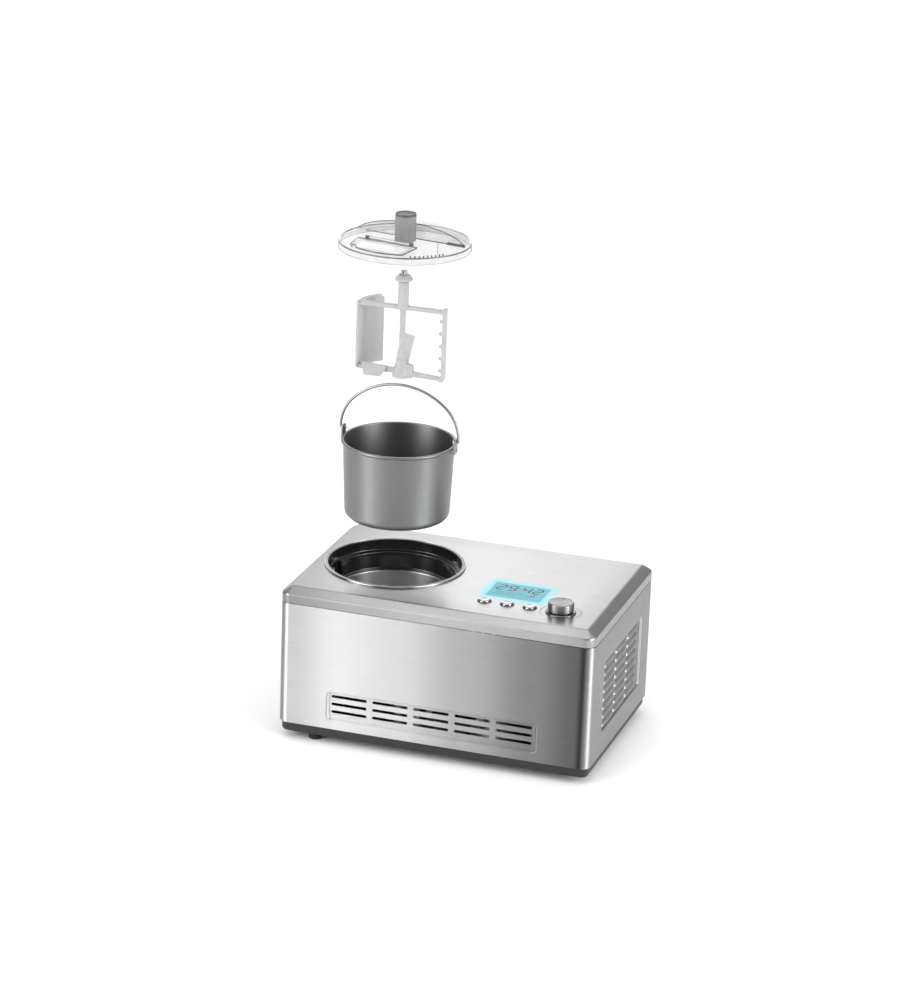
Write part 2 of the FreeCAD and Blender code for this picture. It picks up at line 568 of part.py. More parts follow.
def make_bucket():
    """Aluminium bucket with a rolled rim and a centre boss, its ears, their rivets and the wire bail."""
    low = "bucket_base + bucket_lift"
    rim = "bucket_height"
    wall = "bucket_wall"
    profile = [("boss_bore", 0), ("bucket_foot - bucket_round", 0),
               ("bucket_foot - bucket_round * 0.62", "0.9"),
               ("bucket_foot - bucket_round * 0.29", "bucket_round * 0.29"),
               ("bucket_foot - 0.9", "bucket_round * 0.62"), ("bucket_foot + 0.1", "bucket_round"),
               ("bucket_top", rim + " - 3.4"), ("bucket_rim", rim + " - 2.8"), ("bucket_rim", rim + " - 0.6"),
               ("bucket_rim - 0.6", rim), ("bucket_top - bucket_wall", rim),
               ("bucket_foot + 0.1 - bucket_wall", "bucket_round"),
               ("bucket_foot - 1.1 - bucket_wall", "bucket_round * 0.62 + 0.5"),
               ("bucket_foot - bucket_round * 0.29 - bucket_wall * 0.9",
                "bucket_round * 0.29 + bucket_wall * 0.8"),
               ("bucket_foot - bucket_round * 0.62 - 0.4", "0.9 + bucket_wall"),
               ("bucket_foot - bucket_round - 0.4", "bucket_wall + 0.5"),
               ("boss_radius + 1", "bucket_wall + 0.5"), ("boss_radius", "bucket_wall + 1.5"),
               ("boss_radius", "bucket_wall + 0.5 + boss_height"),
               ("boss_bore", "bucket_wall + 0.5 + boss_height")]
    node("bucket", turned("bucket", profile, "well_x", 0, low))
    pivot = "bucket_base + bucket_height + bail_pivot + bucket_lift"
    ears = []
    rivets = []
    for side, face in ((1, "well_x + bucket_rim"), (-1, "well_x - ear_face")):
        thick = "ear_face - bucket_rim"
        plate = box("ear_plate", face, -7, "%s - 16" % pivot, thick, 14, 16)
        dome = rod("ear_dome", face, 0, pivot, 7, thick, "x")
        cap = box("ear_trim", "(%s) - 2" % face, -10, "%s + 4.6" % pivot, 8, 20, 8)
        hole = rod("ear_hole", "(%s) - 3" % face, 0, pivot, "bail_wire + 0.1", 10, "x")
        ears.append(cut("ear", fuse("ear_solid", plate, dome), cap, hole))
        start = "well_x + ear_face" if side == 1 else "well_x - ear_face - 1.2"
        for y in (-4, 4):
            rivets.append(rod("ear_rivet", start, y, "%s - 12" % pivot, 1.6, 1.2, "x"))
    node("bucket_ears", group("bucket_ears", *ears, *rivets))
    make_bail(pivot)


def make_bail(pivot):
    """Wire bail: a three-centred arch whose ends bend inward as pins that turn in the ears."""
    half = sheet.get("bail_half")
    wire = sheet.get("bail_wire")
    elbow = sheet.get("bail_elbow")
    haunch = sheet.get("bail_haunch")
    rise = sheet.get("bail_rise") - elbow
    offset = half - haunch
    sunk = (offset ** 2 - (rise - haunch) ** 2) / (2 * (rise - haunch))
    crown = rise + sunk
    lean = math.atan2(sunk, offset)

    def spot(side, x, z):
        return FreeCAD.Vector(side * x, 0, z)

    edges = []
    for side in (-1, 1):
        inner = spot(side, sheet.get("bucket_rim") - 2.5, 0)
        corner = spot(side, half - elbow, 0)
        quarter = spot(side, half - elbow * (1 - math.sqrt(0.5)), elbow * (1 - math.sqrt(0.5)))
        upright = spot(side, half, elbow)
        shoulder = spot(side, offset + haunch * math.cos(lean / 2), elbow + haunch * math.sin(lean / 2))
        meeting = spot(side, crown * math.cos(lean), elbow - sunk + crown * math.sin(lean))
        run = [Part.LineSegment(inner, corner), Part.Arc(corner, quarter, upright),
               Part.Arc(upright, shoulder, meeting)]
        edges.append([piece.toShape() for piece in run])
    left, right = edges
    start = left[0].Vertexes[0].Point
    top = Part.Arc(left[-1].Vertexes[-1].Point, spot(1, 0, elbow + rise), right[-1].Vertexes[-1].Point)
    path = Part.Wire([*left, top.toShape(), *reversed(right)])
    section = Part.Wire([Part.makeCircle(wire, start, X_AXIS)])
    item = make("Part::Feature", "bail")
    item.Shape = path.makePipeShell([section], True, False)
    node("bail", item)
    place(item, "well_x", 0, pivot)


# ---- paddle ---------------------------------------------------------------------------------------

def make_paddle():
    """Mixing paddle and its bush: stem, bar, curved blade, pegged post, scoop, bottom arms and hub."""
    low = "bucket_base + bucket_wall + 1.5 + bucket_lift + paddle_lift"
    tall = "paddle_height"
    stem = [(0, 8), ("boss_radius + 1", 8), ("boss_radius + 1", 0), ("boss_radius + 2.6", 0),
            ("boss_radius + 2.2", 6), (8.2, 11), (6.4, 20), ("stem_radius", 24),
            ("stem_radius", "bar_height - 2"),
            ("neck_radius", "bar_height"), ("neck_radius", "bush_height - 1"), ("pin_radius", "bush_height"),
            ("pin_radius", tall + " - 1"), ("pin_radius - 1", tall), (0, tall)]
    socket = hexagon("paddle_socket", "hex_radius + 0.4", 12, "%s + 7" % low)
    pieces = [cut("paddle_stem", turned("paddle_stem", stem, "well_x", 0, low), socket)]
    bar = box("bar", "well_x - paddle_reach + 2", -3.5, "%s + bar_height" % low, "2 * paddle_reach - 4", 7, 5)
    bar_hole = rod("bar_hole", "well_x", 0, "%s + bar_height - 1" % low, "neck_radius", 8)
    pieces.append(cut("paddle_bar", bar, bar_hole))
    sleeve = cut("blade_sleeve",
                 rod("blade_outer", "well_x", 0, "%s + 4" % low, "paddle_reach", "bar_height - 4"),
                 rod("blade_inner", "well_x", 0, "%s + 3" % low, "paddle_reach - 3", "bar_height + 4"))
    sector = box("blade_sector", "well_x - paddle_reach - 1", -7, low, "paddle_reach * 0.62", 51,
                 "bar_height + 4")
    pieces.append(common("paddle_blade", sleeve, sector))
    post = box("post", "well_x + paddle_reach - 7", -5, "%s + 2" % low, 5, 8, "bar_height - 2")
    pegs = [box("peg", "well_x + paddle_reach - 13", -4, "%s + %d * peg_pitch + 12" % (low, i), 6.5, 6, 4.5)
            for i in range(5)]
    pieces += [post, *pegs]
    scoop = box("scoop", 0, -9, 0, 2.6, 18, 34)
    scoop.Placement = FreeCAD.Placement(FreeCAD.Vector(), FreeCAD.Rotation(Y_AXIS, 22))
    scoop.setExpression("Placement.Base.x", full("well_x + 4"))
    scoop.setExpression("Placement.Base.y", full("-9"))
    scoop.setExpression("Placement.Base.z", full("%s + 24" % low))
    link = box("scoop_link", "well_x", -2, "%s + 38" % low, 14, 4, 6)
    link_hole = rod("scoop_hole", "well_x", 0, "%s + 20" % low, "stem_radius", 60)
    pieces.append(cut("mixing_scoop", fuse("scoop_solid", scoop, link), link_hole))
    right_arm = box("right_arm", "well_x + 9", -4, "%s + 1" % low, "paddle_reach - 16", 7, 5)
    left_arm = box("left_arm", "well_x - paddle_reach + 2", -4, "%s + 4" % low, "paddle_reach - 11", 7, 6)
    hub_hole = rod("hub_hole", "well_x", 0, "%s - 1" % low, "boss_radius + 2.3", 12)
    pieces.append(cut("bottom_arms", fuse("arms", right_arm, left_arm), hub_hole))
    node("mixing_paddle", fuse("mixing_paddle", *pieces))
    bush = [("pin_radius + 0.1", "bush_height + 0.1"), ("bush_radius", "bush_height + 0.1"),
            ("bush_radius", "bush_height + bush_length - 1"),
            ("bush_radius - 1", "bush_height + bush_length"),
            ("pin_radius + 0.1", "bush_height + bush_length")]
    node("paddle_bush", turned("paddle_bush", bush, "well_x", 0, low))


# ---- lid ------------------------------------------------------------------------------------------

def swivelled(item):
    """Turn a piece of the lid about the well's axis, to where the lid is set on the well."""
    turn = FreeCAD.Rotation(Z_AXIS, sheet.get("lid_swivel"))
    item.Placement = FreeCAD.Placement(FreeCAD.Vector(), turn, FreeCAD.Vector(sheet.get("well_x"), 0, 0))
    return item


def make_lid():
    """Clear lid with a raised rear half, a tower with its cap, and a filling flap on a hinge pin."""
    low = "ledge + 0.7 + bucket_lift + paddle_lift + lid_lift"
    top = "lid_skirt"
    inner = "lid_radius - lid_wall"
    profile = [("tower_bore", top + " - lid_plate"), (inner, top + " - lid_plate"), (inner, 0),
               ("lid_radius", 0),
               ("lid_radius", top + " - 0.8"), ("lid_radius - 0.8", top), ("tower_bore", top)]
    pan = turned("lid_pan", profile, "well_x", 0, low)
    opening = box("flap_opening", "well_x - 46", -62, "%s - 2" % low, 70, 34, 30)
    dome_out = [(0, top), ("lid_radius - 6", top), ("lid_radius * 0.8", top + " + dome_rise * 0.36"),
                ("lid_radius * 0.55", top + " + dome_rise * 0.76"), (0, top + " + dome_rise")]
    dome_in = [(0, top + " - 1"), ("lid_radius - 10", top + " - 1"),
               ("lid_radius * 0.8 - 3", top + " + dome_rise * 0.36 - 2"),
               ("lid_radius * 0.55 - 1", top + " + dome_rise * 0.76 - 2"), (0, top + " + dome_rise - 2")]
    rear = box("dome_half", "well_x - 100", "dome_front", low, 200, 120, 60)
    rear_in = box("dome_half_in", "well_x - 100", "dome_front + 2", "%s - 1" % low, 200, 120, 60)
    dome = cut("dome", common("dome_solid", turned("dome_out", dome_out, "well_x", 0, low), rear),
               common("dome_room", turned("dome_in", dome_in, "well_x", 0, low), rear_in),
               rod("dome_bore", "well_x", 0, low, "tower_radius - 0.01", 60))
    plate = cut("lid_open", pan, opening,
                common("dome_gap", turned("dome_gap", dome_in, "well_x", 0, "%s - 2.5" % low), rear_in,
                       cut("dome_gap_ring", rod("gap_out", "well_x", 0, low, 100, 60),
                           rod("gap_in", "well_x", 0, low, "tower_radius", 60))))
    knuckles = [cut("knuckle", box("knuckle_block", "well_x + %d" % x, "hinge_y - 2.4",
                                   "%s + lid_skirt" % low, 4, 4.8, 4.6),
                    rod("knuckle_bore", "well_x + %d" % (x - 1), "hinge_y", "%s + lid_skirt + 2.4" % low,
                        1.0, 6, "x")) for x in (-45, 19)]
    swivelled(node("lid_shell", fuse("lid_shell", plate, dome, *knuckles)))
    tower = [("tower_bore", top), ("tower_radius", top), ("tower_radius", top + " + tower_height - 2"),
             ("tower_bore", top + " + tower_height - 2")]
    node("lid_tower", turned("lid_tower", tower, "well_x", 0, low))
    cap = [(0, top + " + tower_height - 2"), ("tower_radius", top + " + tower_height - 2"),
           ("tower_radius", top + " + tower_height - 0.8"), ("tower_radius - 0.8", top + " + tower_height"),
           (0, top + " + tower_height")]
    node("tower_cap", turned("tower_cap", cap, "well_x", 0, low))
    level = "%s + lid_skirt + 0.3" % low
    disc = common("flap_disc", rod("flap_round", "well_x", 0, level, "lid_radius - 6", 2),
                  box("flap_cut", "well_x - 58", "-lid_radius", level, 92, "lid_radius + hinge_y - 5", 2))
    barrel = rod("flap_barrel", "well_x - 40", "hinge_y", "%s + lid_skirt + 2.4" % low, 2.2, 58, "x")
    tongue = box("flap_tongue", "well_x - 40", "hinge_y - 5.6", "%s + 0.3" % level, 58, 5.6, 1.7)
    bore = rod("flap_bore", "well_x - 42", "hinge_y", "%s + lid_skirt + 2.4" % low, 1.1, 62, "x")
    notch = rod("flap_notch", "well_x - 44", -66, "%s - 1" % level, 7, 6)
    swivelled(node("lid_flap", cut("lid_flap", fuse("flap_solid", disc, barrel, tongue), bore, notch)))
    pin = rod("flap_pin", "well_x - 45", "hinge_y", "%s + lid_skirt + 2.4" % low, 1.0, 68, "x")
    swivelled(node("flap_hinge_pin", group("flap_hinge_pin", pin)))


def main():
    make_top_cover()
    make_body_wrap()
    make_front_grille()
    make_side_grille()
    make_rear_panel()
    make_base()
    make_well()
    make_drive()
    make_cooling_plant()
    make_controls()
    make_bucket()
    make_paddle()
    make_lid()
    doc.recompute()
    for item in doc.Objects:
        if "Invalid" in item.State or "Error" in item.State:
            raise RuntimeError("%s failed: %s" % (item.Name, item.State))
    for item in nodes:
        if item.Shape.isNull() or not item.Shape.isValid() or not item.Shape.Solids:
            raise RuntimeError("%s has no valid shape" % item.Label)
    os.makedirs("parts", exist_ok=True)
    for item in nodes:
        item.Shape.exportStep("parts/%s.step" % item.Label)
        print("%-22s %2d solids %10.0f mm3" % (item.Label, len(item.Shape.Solids), item.Shape.Volume))
    print(len(nodes), "nodes")


main()
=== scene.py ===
import math

import bmesh
import bpy
from mathutils import Matrix, Vector


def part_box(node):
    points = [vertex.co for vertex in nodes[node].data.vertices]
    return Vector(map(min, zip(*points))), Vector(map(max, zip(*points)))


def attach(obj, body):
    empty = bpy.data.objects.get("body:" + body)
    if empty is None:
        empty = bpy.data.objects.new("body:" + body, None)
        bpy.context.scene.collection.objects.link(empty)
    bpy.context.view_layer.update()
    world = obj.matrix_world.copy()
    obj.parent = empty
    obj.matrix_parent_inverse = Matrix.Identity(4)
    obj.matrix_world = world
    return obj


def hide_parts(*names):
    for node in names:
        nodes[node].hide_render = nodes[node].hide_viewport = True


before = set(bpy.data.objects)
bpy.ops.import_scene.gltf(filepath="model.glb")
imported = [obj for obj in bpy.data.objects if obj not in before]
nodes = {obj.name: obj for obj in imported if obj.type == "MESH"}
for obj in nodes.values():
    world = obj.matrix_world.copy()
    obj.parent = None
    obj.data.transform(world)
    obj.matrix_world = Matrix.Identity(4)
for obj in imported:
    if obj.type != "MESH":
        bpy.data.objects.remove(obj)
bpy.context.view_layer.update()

# Outlines are in millimetres from a piece's own datum, and MM turns them into metres.
MM = 0.001


def middle(name):
    """Centre of a CAD node's box."""
    low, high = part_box(name)
    return (low + high) / 2


COVER_LOW, COVER_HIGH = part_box("top_cover")
WRAP_LOW, WRAP_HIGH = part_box("body_wrap")
WELL = middle("well_trim_ring")
TOP = COVER_HIGH.z


# ---- meshes -----------------------------------------------------------------------------------------

def softened(points, radius, steps=4, closed=True):
    """An outline with each corner replaced by a short curve."""
    points = [Vector(point) for point in points]
    count = len(points)
    result = []
    for i, corner in enumerate(points):
        if not closed and i in (0, count - 1):
            result.append(corner)
            continue
        before = points[i - 1] - corner
        after = points[(i + 1) % count] - corner
        reach = min(radius, before.length * 0.45, after.length * 0.45)
        start = corner + before.normalized() * reach
        end = corner + after.normalized() * reach
        for k in range(steps + 1):
            t = k / steps
            result.append(start * (1 - t) ** 2 + corner * 2 * t * (1 - t) + end * t * t)
    return result


def plan(half_x, half_y, corner, steps=8, start=-90):
    """Points round a rectangle with arcs at its corners, in order."""
    points = []
    for i, (side_x, side_y) in enumerate(((1, -1), (1, 1), (-1, 1), (-1, -1))):
        for k in range(steps + 1):
            angle = math.radians(start + 90 * i + 90 * k / steps)
            points.append(Vector((side_x * (half_x - corner) + corner * math.cos(angle),
                                  side_y * (half_y - corner) + corner * math.sin(angle))))
    return points


def skin(mesh, rings, closed=True, caps=(False, False)):
    """Faces between rings of points, as many points in each."""
    made = [[mesh.verts.new(point) for point in ring] for ring in rings]
    count = len(rings[0])
    for first, second in zip(made, made[1:]):
        for i in range(count if closed else count - 1):
            j = (i + 1) % count
            mesh.faces.new((first[i], first[j], second[j], second[i]))
    for ring, wanted in zip((made[0], made[-1]), caps):
        if wanted:
            mesh.faces.new(ring)
    return made


def turn(outline, centre, steps=128, ribs=None):
    """Turn an outline of radius and height about an upright axis. ribs(angle) changes the radius."""
    rings = []
    for radius, height in outline:
        ring = []
        for i in range(steps):
            angle = 2 * math.pi * i / steps
            reach = radius + (ribs(angle, height) if ribs and radius > 0.01 else 0)
            ring.append(centre + Vector((reach * math.cos(angle), reach * math.sin(angle), height)) * MM)
        rings.append(ring)
    return rings


def add_turned(mesh, outline, centre, steps=128, soft=0.4, closed=True, ribs=None):
    """A turned solid. An open outline starts and ends on the axis."""
    outline = softened(outline, soft, 3, closed)
    rings = turn(outline, centre, steps, ribs)
    if closed:
        skin(mesh, rings + [rings[0]])
    else:
        skin(mesh, rings)
    bmesh.ops.remove_doubles(mesh, verts=mesh.verts, dist=1e-7)


def add_prism(mesh, outline, place, depth):
    """A straight prism. place(point, d) puts an outline point at a depth."""
    rings = [[place(point, d) for point in outline] for d in depth]
    skin(mesh, rings, caps=(True, True))


def sweep(mesh, path, radius, steps=20):
    """A round wire along a path of points."""
    rings = []
    side = None
    for i, point in enumerate(path):
        ahead = (path[min(i + 1, len(path) - 1)] - path[max(i - 1, 0)]).normalized()
        if side is None:
            side = ahead.orthogonal().normalized()
        side = (side - ahead * side.dot(ahead)).normalized()
        across = ahead.cross(side)
        rings.append([point + (side * math.cos(a) + across * math.sin(a)) * radius
                      for a in (2 * math.pi * k / steps for k in range(steps))])
    skin(mesh, rings, caps=(True, True))


def settle(piece):
    """Apply a piece's modifiers."""
    graph = bpy.context.evaluated_depsgraph_get()
    mesh = bpy.data.meshes.new_from_object(piece.evaluated_get(graph))
    piece.modifiers.clear()
    piece.data = mesh
    return piece


def from_mesh(name, mesh):
    """An object from a bmesh, with its faces turned outwards."""
    bmesh.ops.recalc_face_normals(mesh, faces=mesh.faces)
    data = bpy.data.meshes.new(name)
    mesh.to_mesh(data)
    mesh.free()
    piece = bpy.data.objects.new(name, data)
    bpy.context.scene.collection.objects.link(piece)
    return piece


def carve(piece, cutter_mesh):
    """Cut closed shapes out of a piece."""
    cutter = from_mesh("cutter", cutter_mesh)
    change = piece.modifiers.new("carve", "BOOLEAN")
    change.operation = "DIFFERENCE"
    change.object = cutter
    change.solver = "EXACT"
    change.use_self = True
    settle(piece)
    bpy.data.objects.remove(cutter)
    return piece


def round_edges(piece, width=0.3, segments=2, angle=50):
    """A small round along a piece's sharp edges."""
    bevel = piece.modifiers.new("round", "BEVEL")
    bevel.width = width * MM
    bevel.segments = segments
    bevel.limit_method = "ANGLE"
    bevel.angle_limit = math.radians(angle)
    bevel.harden_normals = False
    return piece


def smooth(piece, angle=40, weighted=False):
    """Smooth shading that keeps a piece's creases."""
    piece.data.shade_smooth()
    piece.data.set_sharp_from_angle(angle=math.radians(angle))
    if weighted:
        piece.modifiers.new("weighted", "WEIGHTED_NORMAL").keep_sharp = True
        settle(piece)
    return piece


def place_piece(piece, body, slot, *stands_for, material=None):
    """Give a piece its material, its body and the CAD nodes that it stands for."""
    if not piece.data.materials:
        piece.data.materials.append(material or MATERIALS[slot])
    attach(piece, body)
    if stands_for:
        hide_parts(*stands_for)
    return piece


# ---- materials --------------------------------------------------------------------------------------

def fresh(name):
    """An empty material: its tree and its principled shader."""
    material = bpy.data.materials.new(name)
    material.use_nodes = True
    tree = material.node_tree
    tree.nodes.clear()
    shader = tree.nodes.new("ShaderNodeBsdfPrincipled")
    output = tree.nodes.new("ShaderNodeOutputMaterial")
    tree.links.new(shader.outputs["BSDF"], output.inputs["Surface"])
    return material, tree, shader


def noise(tree, size, stretch=(1, 1, 1), detail=3):
    """Noise in object space. size is the width of a spot in millimetres, stretch its length each way."""
    coordinates = tree.nodes.new("ShaderNodeTexCoord")
    mapping = tree.nodes.new("ShaderNodeMapping")
    mapping.inputs["Scale"].default_value = [1 / (size * MM * axis) for axis in stretch]
    spots = tree.nodes.new("ShaderNodeTexNoise")
    spots.inputs["Scale"].default_value = 1
    spots.inputs["Detail"].default_value = detail
    spots.inputs["Roughness"].default_value = 0.55
    tree.links.new(coordinates.outputs["Object"], mapping.inputs["Vector"])
    tree.links.new(mapping.outputs["Vector"], spots.inputs["Vector"])
    return spots.outputs["Fac"]


def ranged(tree, value, low, high, start=0.3, end=0.7):
    """A value brought from one range to another."""
    change = tree.nodes.new("ShaderNodeMapRange")
    change.inputs["From Min"].default_value = start
    change.inputs["From Max"].default_value = end
    change.inputs["To Min"].default_value = low
    change.inputs["To Max"].default_value = high
    tree.links.new(value, change.inputs["Value"])
    return change.outputs["Result"]


def blended(tree, factor, first, second):
    """A colour between two, by a factor."""
    mix = tree.nodes.new("ShaderNodeMix")
    mix.data_type = "RGBA"
    for socket, colour in ((6, first), (7, second)):
        if isinstance(colour, bpy.types.NodeSocket):
            tree.links.new(colour, mix.inputs[socket])
        else:
            mix.inputs[socket].default_value = (*colour, 1)
    tree.links.new(factor, mix.inputs[0])
    return mix.outputs[2]


def level_ramp(tree, place, stops, scale):
    """Light levels along a 0 to 1 place."""
    ramp = tree.nodes.new("ShaderNodeValToRGB")
    ramp.color_ramp.interpolation = "EASE"
    tree.links.new(place, ramp.inputs["Fac"])
    elements = ramp.color_ramp.elements
    while len(elements) > 1:
        elements.remove(elements[-1])
    for i, (spot, level) in enumerate(stops):
        stop = elements[0] if i == 0 else elements.new(spot)
        stop.position = spot
        stop.color = (level / scale, level / scale, level / scale, 1)
    return ramp.outputs["Color"]


def bumped(tree, shader, height, depth, strength=1.0):
    """Bump of a depth in millimetres."""
    bump = tree.nodes.new("ShaderNodeBump")
    bump.inputs["Strength"].default_value = strength
    bump.inputs["Distance"].default_value = depth * MM
    tree.links.new(height, bump.inputs["Height"])
    tree.links.new(bump.outputs["Normal"], shader.inputs["Normal"])


def tinted(colour, gain):
    """A colour made lighter or darker."""
    return tuple(min(1, part * gain) for part in colour)


def lighter_edges(tree, colour, light, amount=0.5):
    """A colour that turns lighter along a piece's convex edges."""
    geometry = tree.nodes.new("ShaderNodeNewGeometry")
    edge_share = ranged(tree, geometry.outputs["Pointiness"], 0, amount, 0.52, 0.6)
    return blended(tree, edge_share, colour, light)


def metal(name, colour, rough, grain=(1, 1, 1), grain_size=0.35, vary=0.08, depth=0.006, turned=False,
          across=None, anisotropy=0.6):
    """Metal with a directed grain. across is the direction square to the grain's lines."""
    material, tree, shader = fresh(name)
    lines = noise(tree, grain_size, grain)
    patches = noise(tree, 26, [min(axis, 4) for axis in grain], 2)
    base = blended(tree, ranged(tree, patches, 0, 1), tinted(colour, 1 - vary), tinted(colour, 1 + vary))
    base = blended(tree, ranged(tree, lines, 0, 0.35), base, tinted(colour, 1 - 3 * vary))
    tree.links.new(lighter_edges(tree, base, tinted(colour, 1.25)), shader.inputs["Base Color"])
    tree.links.new(ranged(tree, lines, rough * 0.8, rough * 1.25), shader.inputs["Roughness"])
    shader.inputs["Metallic"].default_value = 1
    bumped(tree, shader, lines, depth)
    if turned or across:
        shader.inputs["Anisotropic"].default_value = anisotropy
    if turned:
        tangent = tree.nodes.new("ShaderNodeTangent")
        tangent.direction_type = "RADIAL"
        tangent.axis = "Z"
        shader.inputs["Anisotropic Rotation"].default_value = 0.25
        tree.links.new(tangent.outputs["Tangent"], shader.inputs["Tangent"])
    elif across:
        direction = tree.nodes.new("ShaderNodeCombineXYZ")
        for socket, part in zip(direction.inputs, across):
            socket.default_value = part
        tree.links.new(direction.outputs["Vector"], shader.inputs["Tangent"])
    return material


def plastic(name, colour, rough, size=0.5, depth=0.02, vary=0.06, coat=0.0, subsurface=0.0, specular=0.5,
            light=None):
    """Moulded plastic, rubber or paint with a fine texture."""
    material, tree, shader = fresh(name)
    grain = noise(tree, size)
    patches = noise(tree, 18, detail=2)
    base = blended(tree, ranged(tree, patches, 0, 1), tinted(colour, 1 - vary), tinted(colour, 1 + vary))
    base = lighter_edges(tree, base, light or tinted(colour, 1.5), 0.4)
    tree.links.new(base, shader.inputs["Base Color"])
    tree.links.new(ranged(tree, grain, rough * 0.8, rough * 1.2), shader.inputs["Roughness"])
    shader.inputs["Specular IOR Level"].default_value = specular
    shader.inputs["Coat Weight"].default_value = coat
    shader.inputs["Coat Roughness"].default_value = 0.05
    if subsurface:
        shader.inputs["Subsurface Weight"].default_value = subsurface
        shader.inputs["Subsurface Radius"].default_value = (0.006, 0.006, 0.006)
        shader.inputs["Subsurface Scale"].default_value = 1.0
    bumped(tree, shader, grain, depth)
    return material


def clear(name, colour, rough=0.06, cover=0.16):
    """Thin clear moulded plastic with faint flow marks. cover is the share of light it holds back."""
    material, tree, shader = fresh(name)
    flow = noise(tree, 14, (1, 1, 0.4), 2)
    tree.links.new(blended(tree, ranged(tree, flow, 0, 1), colour, tinted(colour, 0.94)),
                   shader.inputs["Base Color"])
    tree.links.new(ranged(tree, flow, rough * 0.6, rough * 1.6), shader.inputs["Roughness"])
    tree.links.new(ranged(tree, flow, cover * 0.9, cover * 1.1), shader.inputs["Alpha"])
    shader.inputs["IOR"].default_value = 1.49
    bumped(tree, shader, flow, 0.05, 0.4)
    return material


STEEL = (0.40, 0.40, 0.402)
PAINTED_GLOW_CYAN = (0.16, 0.62, 0.74)


def paint_reflection_grade(material, stops):
    """Painted reflection: make a finish's colour lighter or darker along the object's width, in place of the
    studio's reflections. A stop is a share of the width and a gain.
    """
    tree = material.node_tree
    shader = next(item for item in tree.nodes if item.type == "BSDF_PRINCIPLED")
    coordinates = tree.nodes.new("ShaderNodeTexCoord")
    parts = tree.nodes.new("ShaderNodeSeparateXYZ")
    tree.links.new(coordinates.outputs["Object"], parts.inputs["Vector"])
    share = ranged(tree, parts.outputs["X"], 0, 1, WRAP_LOW.x, WRAP_HIGH.x)
    gain = level_ramp(tree, share, stops, 2.0)
    scale = tree.nodes.new("ShaderNodeMix")
    scale.data_type = "RGBA"
    scale.blend_type = "MULTIPLY"
    scale.inputs[0].default_value = 1
    tree.links.new(shader.inputs["Base Color"].links[0].from_socket, scale.inputs[6])
    tree.links.new(gain, scale.inputs[7])
    double = tree.nodes.new("ShaderNodeVectorMath")
    double.operation = "SCALE"
    double.inputs["Scale"].default_value = 2.0
    tree.links.new(scale.outputs[2], double.inputs[0])
    tree.links.new(double.outputs["Vector"], shader.inputs["Base Color"])
    return material


def cover_steel():
    """Brushed steel of the cover, with painted reflection graded across its width and the display's light
    painted on it round the window as a cyan tint and a faint glow.
    """
    material = paint_reflection_grade(metal("cover_steel", STEEL, 0.3, (60, 1, 1), across=(0, 0.94, 0.34), vary=0.02,
                            depth=0.004),
                      ((0, 0.6), (0.25, 0.9), (0.5, 1.08), (0.85, 1.0), (1, 0.8)))
    tree = material.node_tree
    shader = next(item for item in tree.nodes if item.type == "BSDF_PRINCIPLED")
    low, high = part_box("display_window")
    coordinates = tree.nodes.new("ShaderNodeTexCoord")
    parts = tree.nodes.new("ShaderNodeSeparateXYZ")
    tree.links.new(coordinates.outputs["Object"], parts.inputs["Vector"])

    def maths(operation, first, second):
        item = tree.nodes.new("ShaderNodeMath")
        item.operation = operation
        for socket, value in zip(item.inputs, (first, second)):
            if isinstance(value, bpy.types.NodeSocket):
                tree.links.new(value, socket)
            else:
                socket.default_value = value
        return item.outputs["Value"]

    # Painted light: within 20 mm of the window the steel's colour turns cyan and glows faintly, in place of
    # the display's light falling on it.
    squares = []
    for axis, begin, end in (("X", low.x, high.x), ("Y", low.y, high.y)):
        offset = maths("ABSOLUTE", maths("SUBTRACT", parts.outputs[axis], (begin + end) / 2), 0)
        beyond = maths("MAXIMUM", maths("SUBTRACT", offset, (end - begin) / 2 - 0.002), 0)
        squares.append(maths("MULTIPLY", beyond, beyond))
    gap = maths("POWER", maths("ADD", *squares), 0.5)
    glow = ranged(tree, gap, 1, 0, 0.0, 0.02)
    glow = maths("POWER", glow, 1.5)
    plain = shader.inputs["Base Color"].links[0].from_socket
    lit = blended(tree, maths("MULTIPLY", glow, 0.95), plain, (0.03, 0.36, 0.42))
    tree.links.new(lit, shader.inputs["Base Color"])
    shader.inputs["Emission Color"].default_value = (*PAINTED_GLOW_CYAN, 1)
    tree.links.new(maths("MULTIPLY", glow, 0.35), shader.inputs["Emission Strength"])
    return material


def lit_display():
    """Backlit display: a glow that varies in broad patches, with a faint fine texture."""
    material, tree, shader = fresh("lit_display_glass")
    glow = noise(tree, 30, detail=1)
    colour = blended(tree, ranged(tree, glow, 0, 1), (0.15, 0.62, 0.74), (0.2, 0.7, 0.82))
    tree.links.new(colour, shader.inputs["Emission Color"])
    shader.inputs["Emission Strength"].default_value = 0.42
    shader.inputs["Base Color"].default_value = (0.03, 0.13, 0.16, 1)
    shader.inputs["Specular IOR Level"].default_value = 0.15
    shader.inputs["Roughness"].default_value = 0.3
    bumped(tree, shader, noise(tree, 0.6), 0.004, 0.5)
    return material


